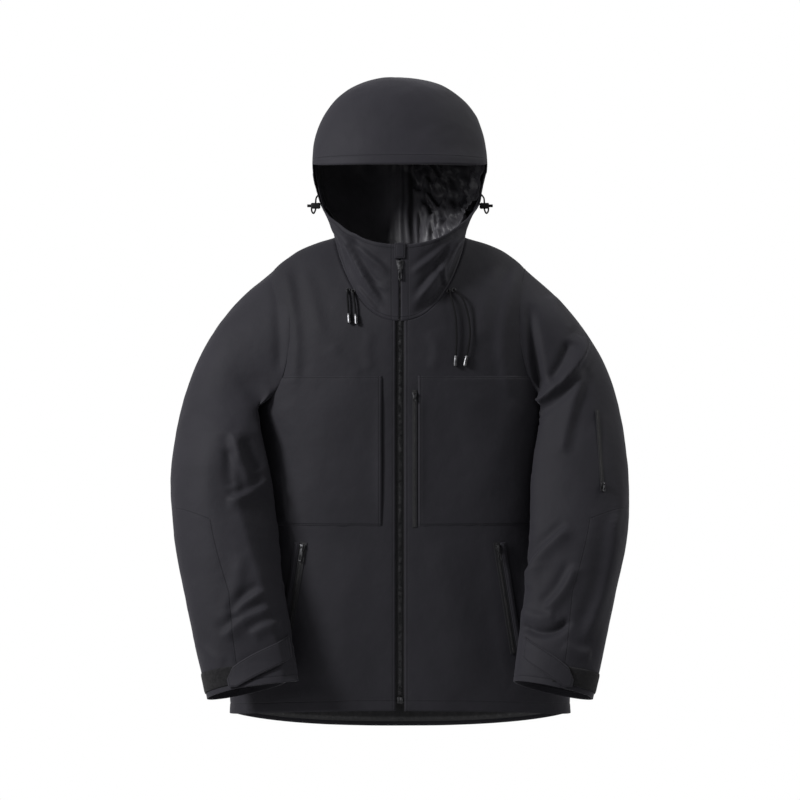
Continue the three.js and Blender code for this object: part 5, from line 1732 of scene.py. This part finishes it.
def braid_material():
    n = Nodes("cord_braid")
    uv = n.place("UV")
    mapping = n.node("ShaderNodeMapping")
    mapping.inputs["Rotation"].default_value = (0, 0, math.radians(38))
    n.link(uv, mapping.inputs["Vector"])
    over, under = n.wave(mapping.outputs[0], 340.0, "X"), n.wave(mapping.outputs[0], 340.0, "Y")
    braid = n.math("MULTIPLY", over, under)
    n.colours(braid, [(0.1, (0.0014, 0.0014, 0.0016)), (0.75, (0.0034, 0.0033, 0.0038))])
    n.set(Roughness=0.8, Specular_IOR_Level=0.03)
    n.bumps([(braid, 0.7, 0.0004)])
    return n.material


def floor_material():
    n = Nodes("pale_floor")
    place = n.place("object")
    n.colours(n.noise(place, 3.0), [(0.3, (0.82, 0.82, 0.82)), (0.7, (0.86, 0.86, 0.86))])
    n.set(Roughness=0.7)
    return n.material


# The body's cloth is painted a tenth darker than the sleeves', as painted shade, and the hood's an
# eighth lighter, as painted light. On a real jacket all three are one cloth.
BODY_PAINTED_SHADE, SLEEVE_TONE, HOOD_PAINTED_LIGHT = 0.9, 1.0, 1.12
MATERIALS = {
    "shell": shell_material("shell_weave", SLEEVE_TONE),
    "body": shell_material("shell_weave_painted_shade", BODY_PAINTED_SHADE),
    "hood": shell_material("shell_weave_painted_light", HOOD_PAINTED_LIGHT),
    "satin": satin_material(), "taffeta": taffeta_material(), "patch": patch_material(),
    "tape": tape_material(), "braid": braid_material(),
    "teeth": metal_material("dark_nickel_teeth", (0.008, 0.008, 0.0085),
                            (0.040, 0.040, 0.042), 0.28),
    "metal": metal_material("gunmetal_slider", (0.008, 0.008, 0.0085), (0.036, 0.036, 0.038), 0.3),
    "tip": metal_material("cord_tip_metal", (0.010, 0.010, 0.011), (0.07, 0.07, 0.073), 0.26),
    "plastic": plastic_material("lock_plastic", (0.0012, 0.0012, 0.0013),
                                (0.0026, 0.0026, 0.0028), 0.5, 0.05),
    "coil": plastic_material("coil_plastic", (0.005, 0.005, 0.0055), (0.010, 0.0095, 0.010), 0.32),
}


def dress(pieces, name):
    for piece in pieces:
        piece.data.materials.clear()
        piece.data.materials.append(MATERIALS[name])


dress(shell_pieces + [loop], "shell")
# The fronts and chest patches get the cloth darkened as painted shade, the hood the cloth lightened
# as painted light.
dress([p for p in shell_pieces if "front_cloth" in p.name or "chest" in p.name], "body")
dress([hood_shell], "hood")
dress([hood_lining], "satin")
# The linings inside the body and sleeves get the taffeta darkened as painted shade.
dress([p for p in lining_pieces if p != hood_lining], "taffeta")
dress(patch_pieces, "patch")
dress(tape_pieces, "tape")
dress([c[0] for c in cords.values()] + elastic_pieces, "braid")
dress(teeth_pieces, "teeth")
dress(metal_pieces + eyelet_pieces + [end_box], "metal")
dress(tip_pieces, "tip")
dress(lock_pieces, "plastic")
dress(coil_pieces, "coil")
print(len(MATERIALS), "materials")


# %% [markdown]
# ## Light and floor
# A white room with three soft round lights: the strongest from the upper left, a weak one in front
# of it and lower, and one from the right. The floor is pale and lies well below the hem.

# %% Floor and lights
bpy.ops.object.select_all(action="DESELECT")
bpy.ops.mesh.primitive_plane_add(size=2.2, location=(0, 0, 0))
floor = bpy.context.active_object
floor.name = floor.data.name = "floor"
floor.data.transform(Matrix.Translation((0, middle_y + 0.2, -1.35)))
floor.data.materials.append(floor_material())

world = bpy.data.worlds.new("white_room")
world.use_nodes = True
world.node_tree.nodes["Background"].inputs["Color"].default_value = (1, 1, 1, 1)
world.node_tree.nodes["Background"].inputs["Strength"].default_value = 1.0
bpy.context.scene.world = world


def area_light(name, place, aim, size, power):
    data = bpy.data.lights.new(name, "AREA")
    data.shape, data.size, data.energy = "DISK", size, power
    light = bpy.data.objects.new(name, data)
    light.location = place
    way = Vector(aim) - Vector(place)
    light.rotation_euler = way.to_track_quat("-Z", "Y").to_euler()
    bpy.context.scene.collection.objects.link(light)


LIGHTS = (  # name, place, what it points at, metres across and watts
    ("key", (-2.15, middle_y - 1.5, 1.0), (0, middle_y, -0.2), 0.7, 310),
    ("front", (-1.9, middle_y - 2.6, 0.1), (0, middle_y, 0.0), 0.8, 40),
    ("right", (2.0, middle_y + 0.1, 1.6), (0, middle_y, -0.1), 1.0, 84),
)
for light in LIGHTS:
    area_light(*light)
bpy.context.scene.view_settings.view_transform = "Standard"
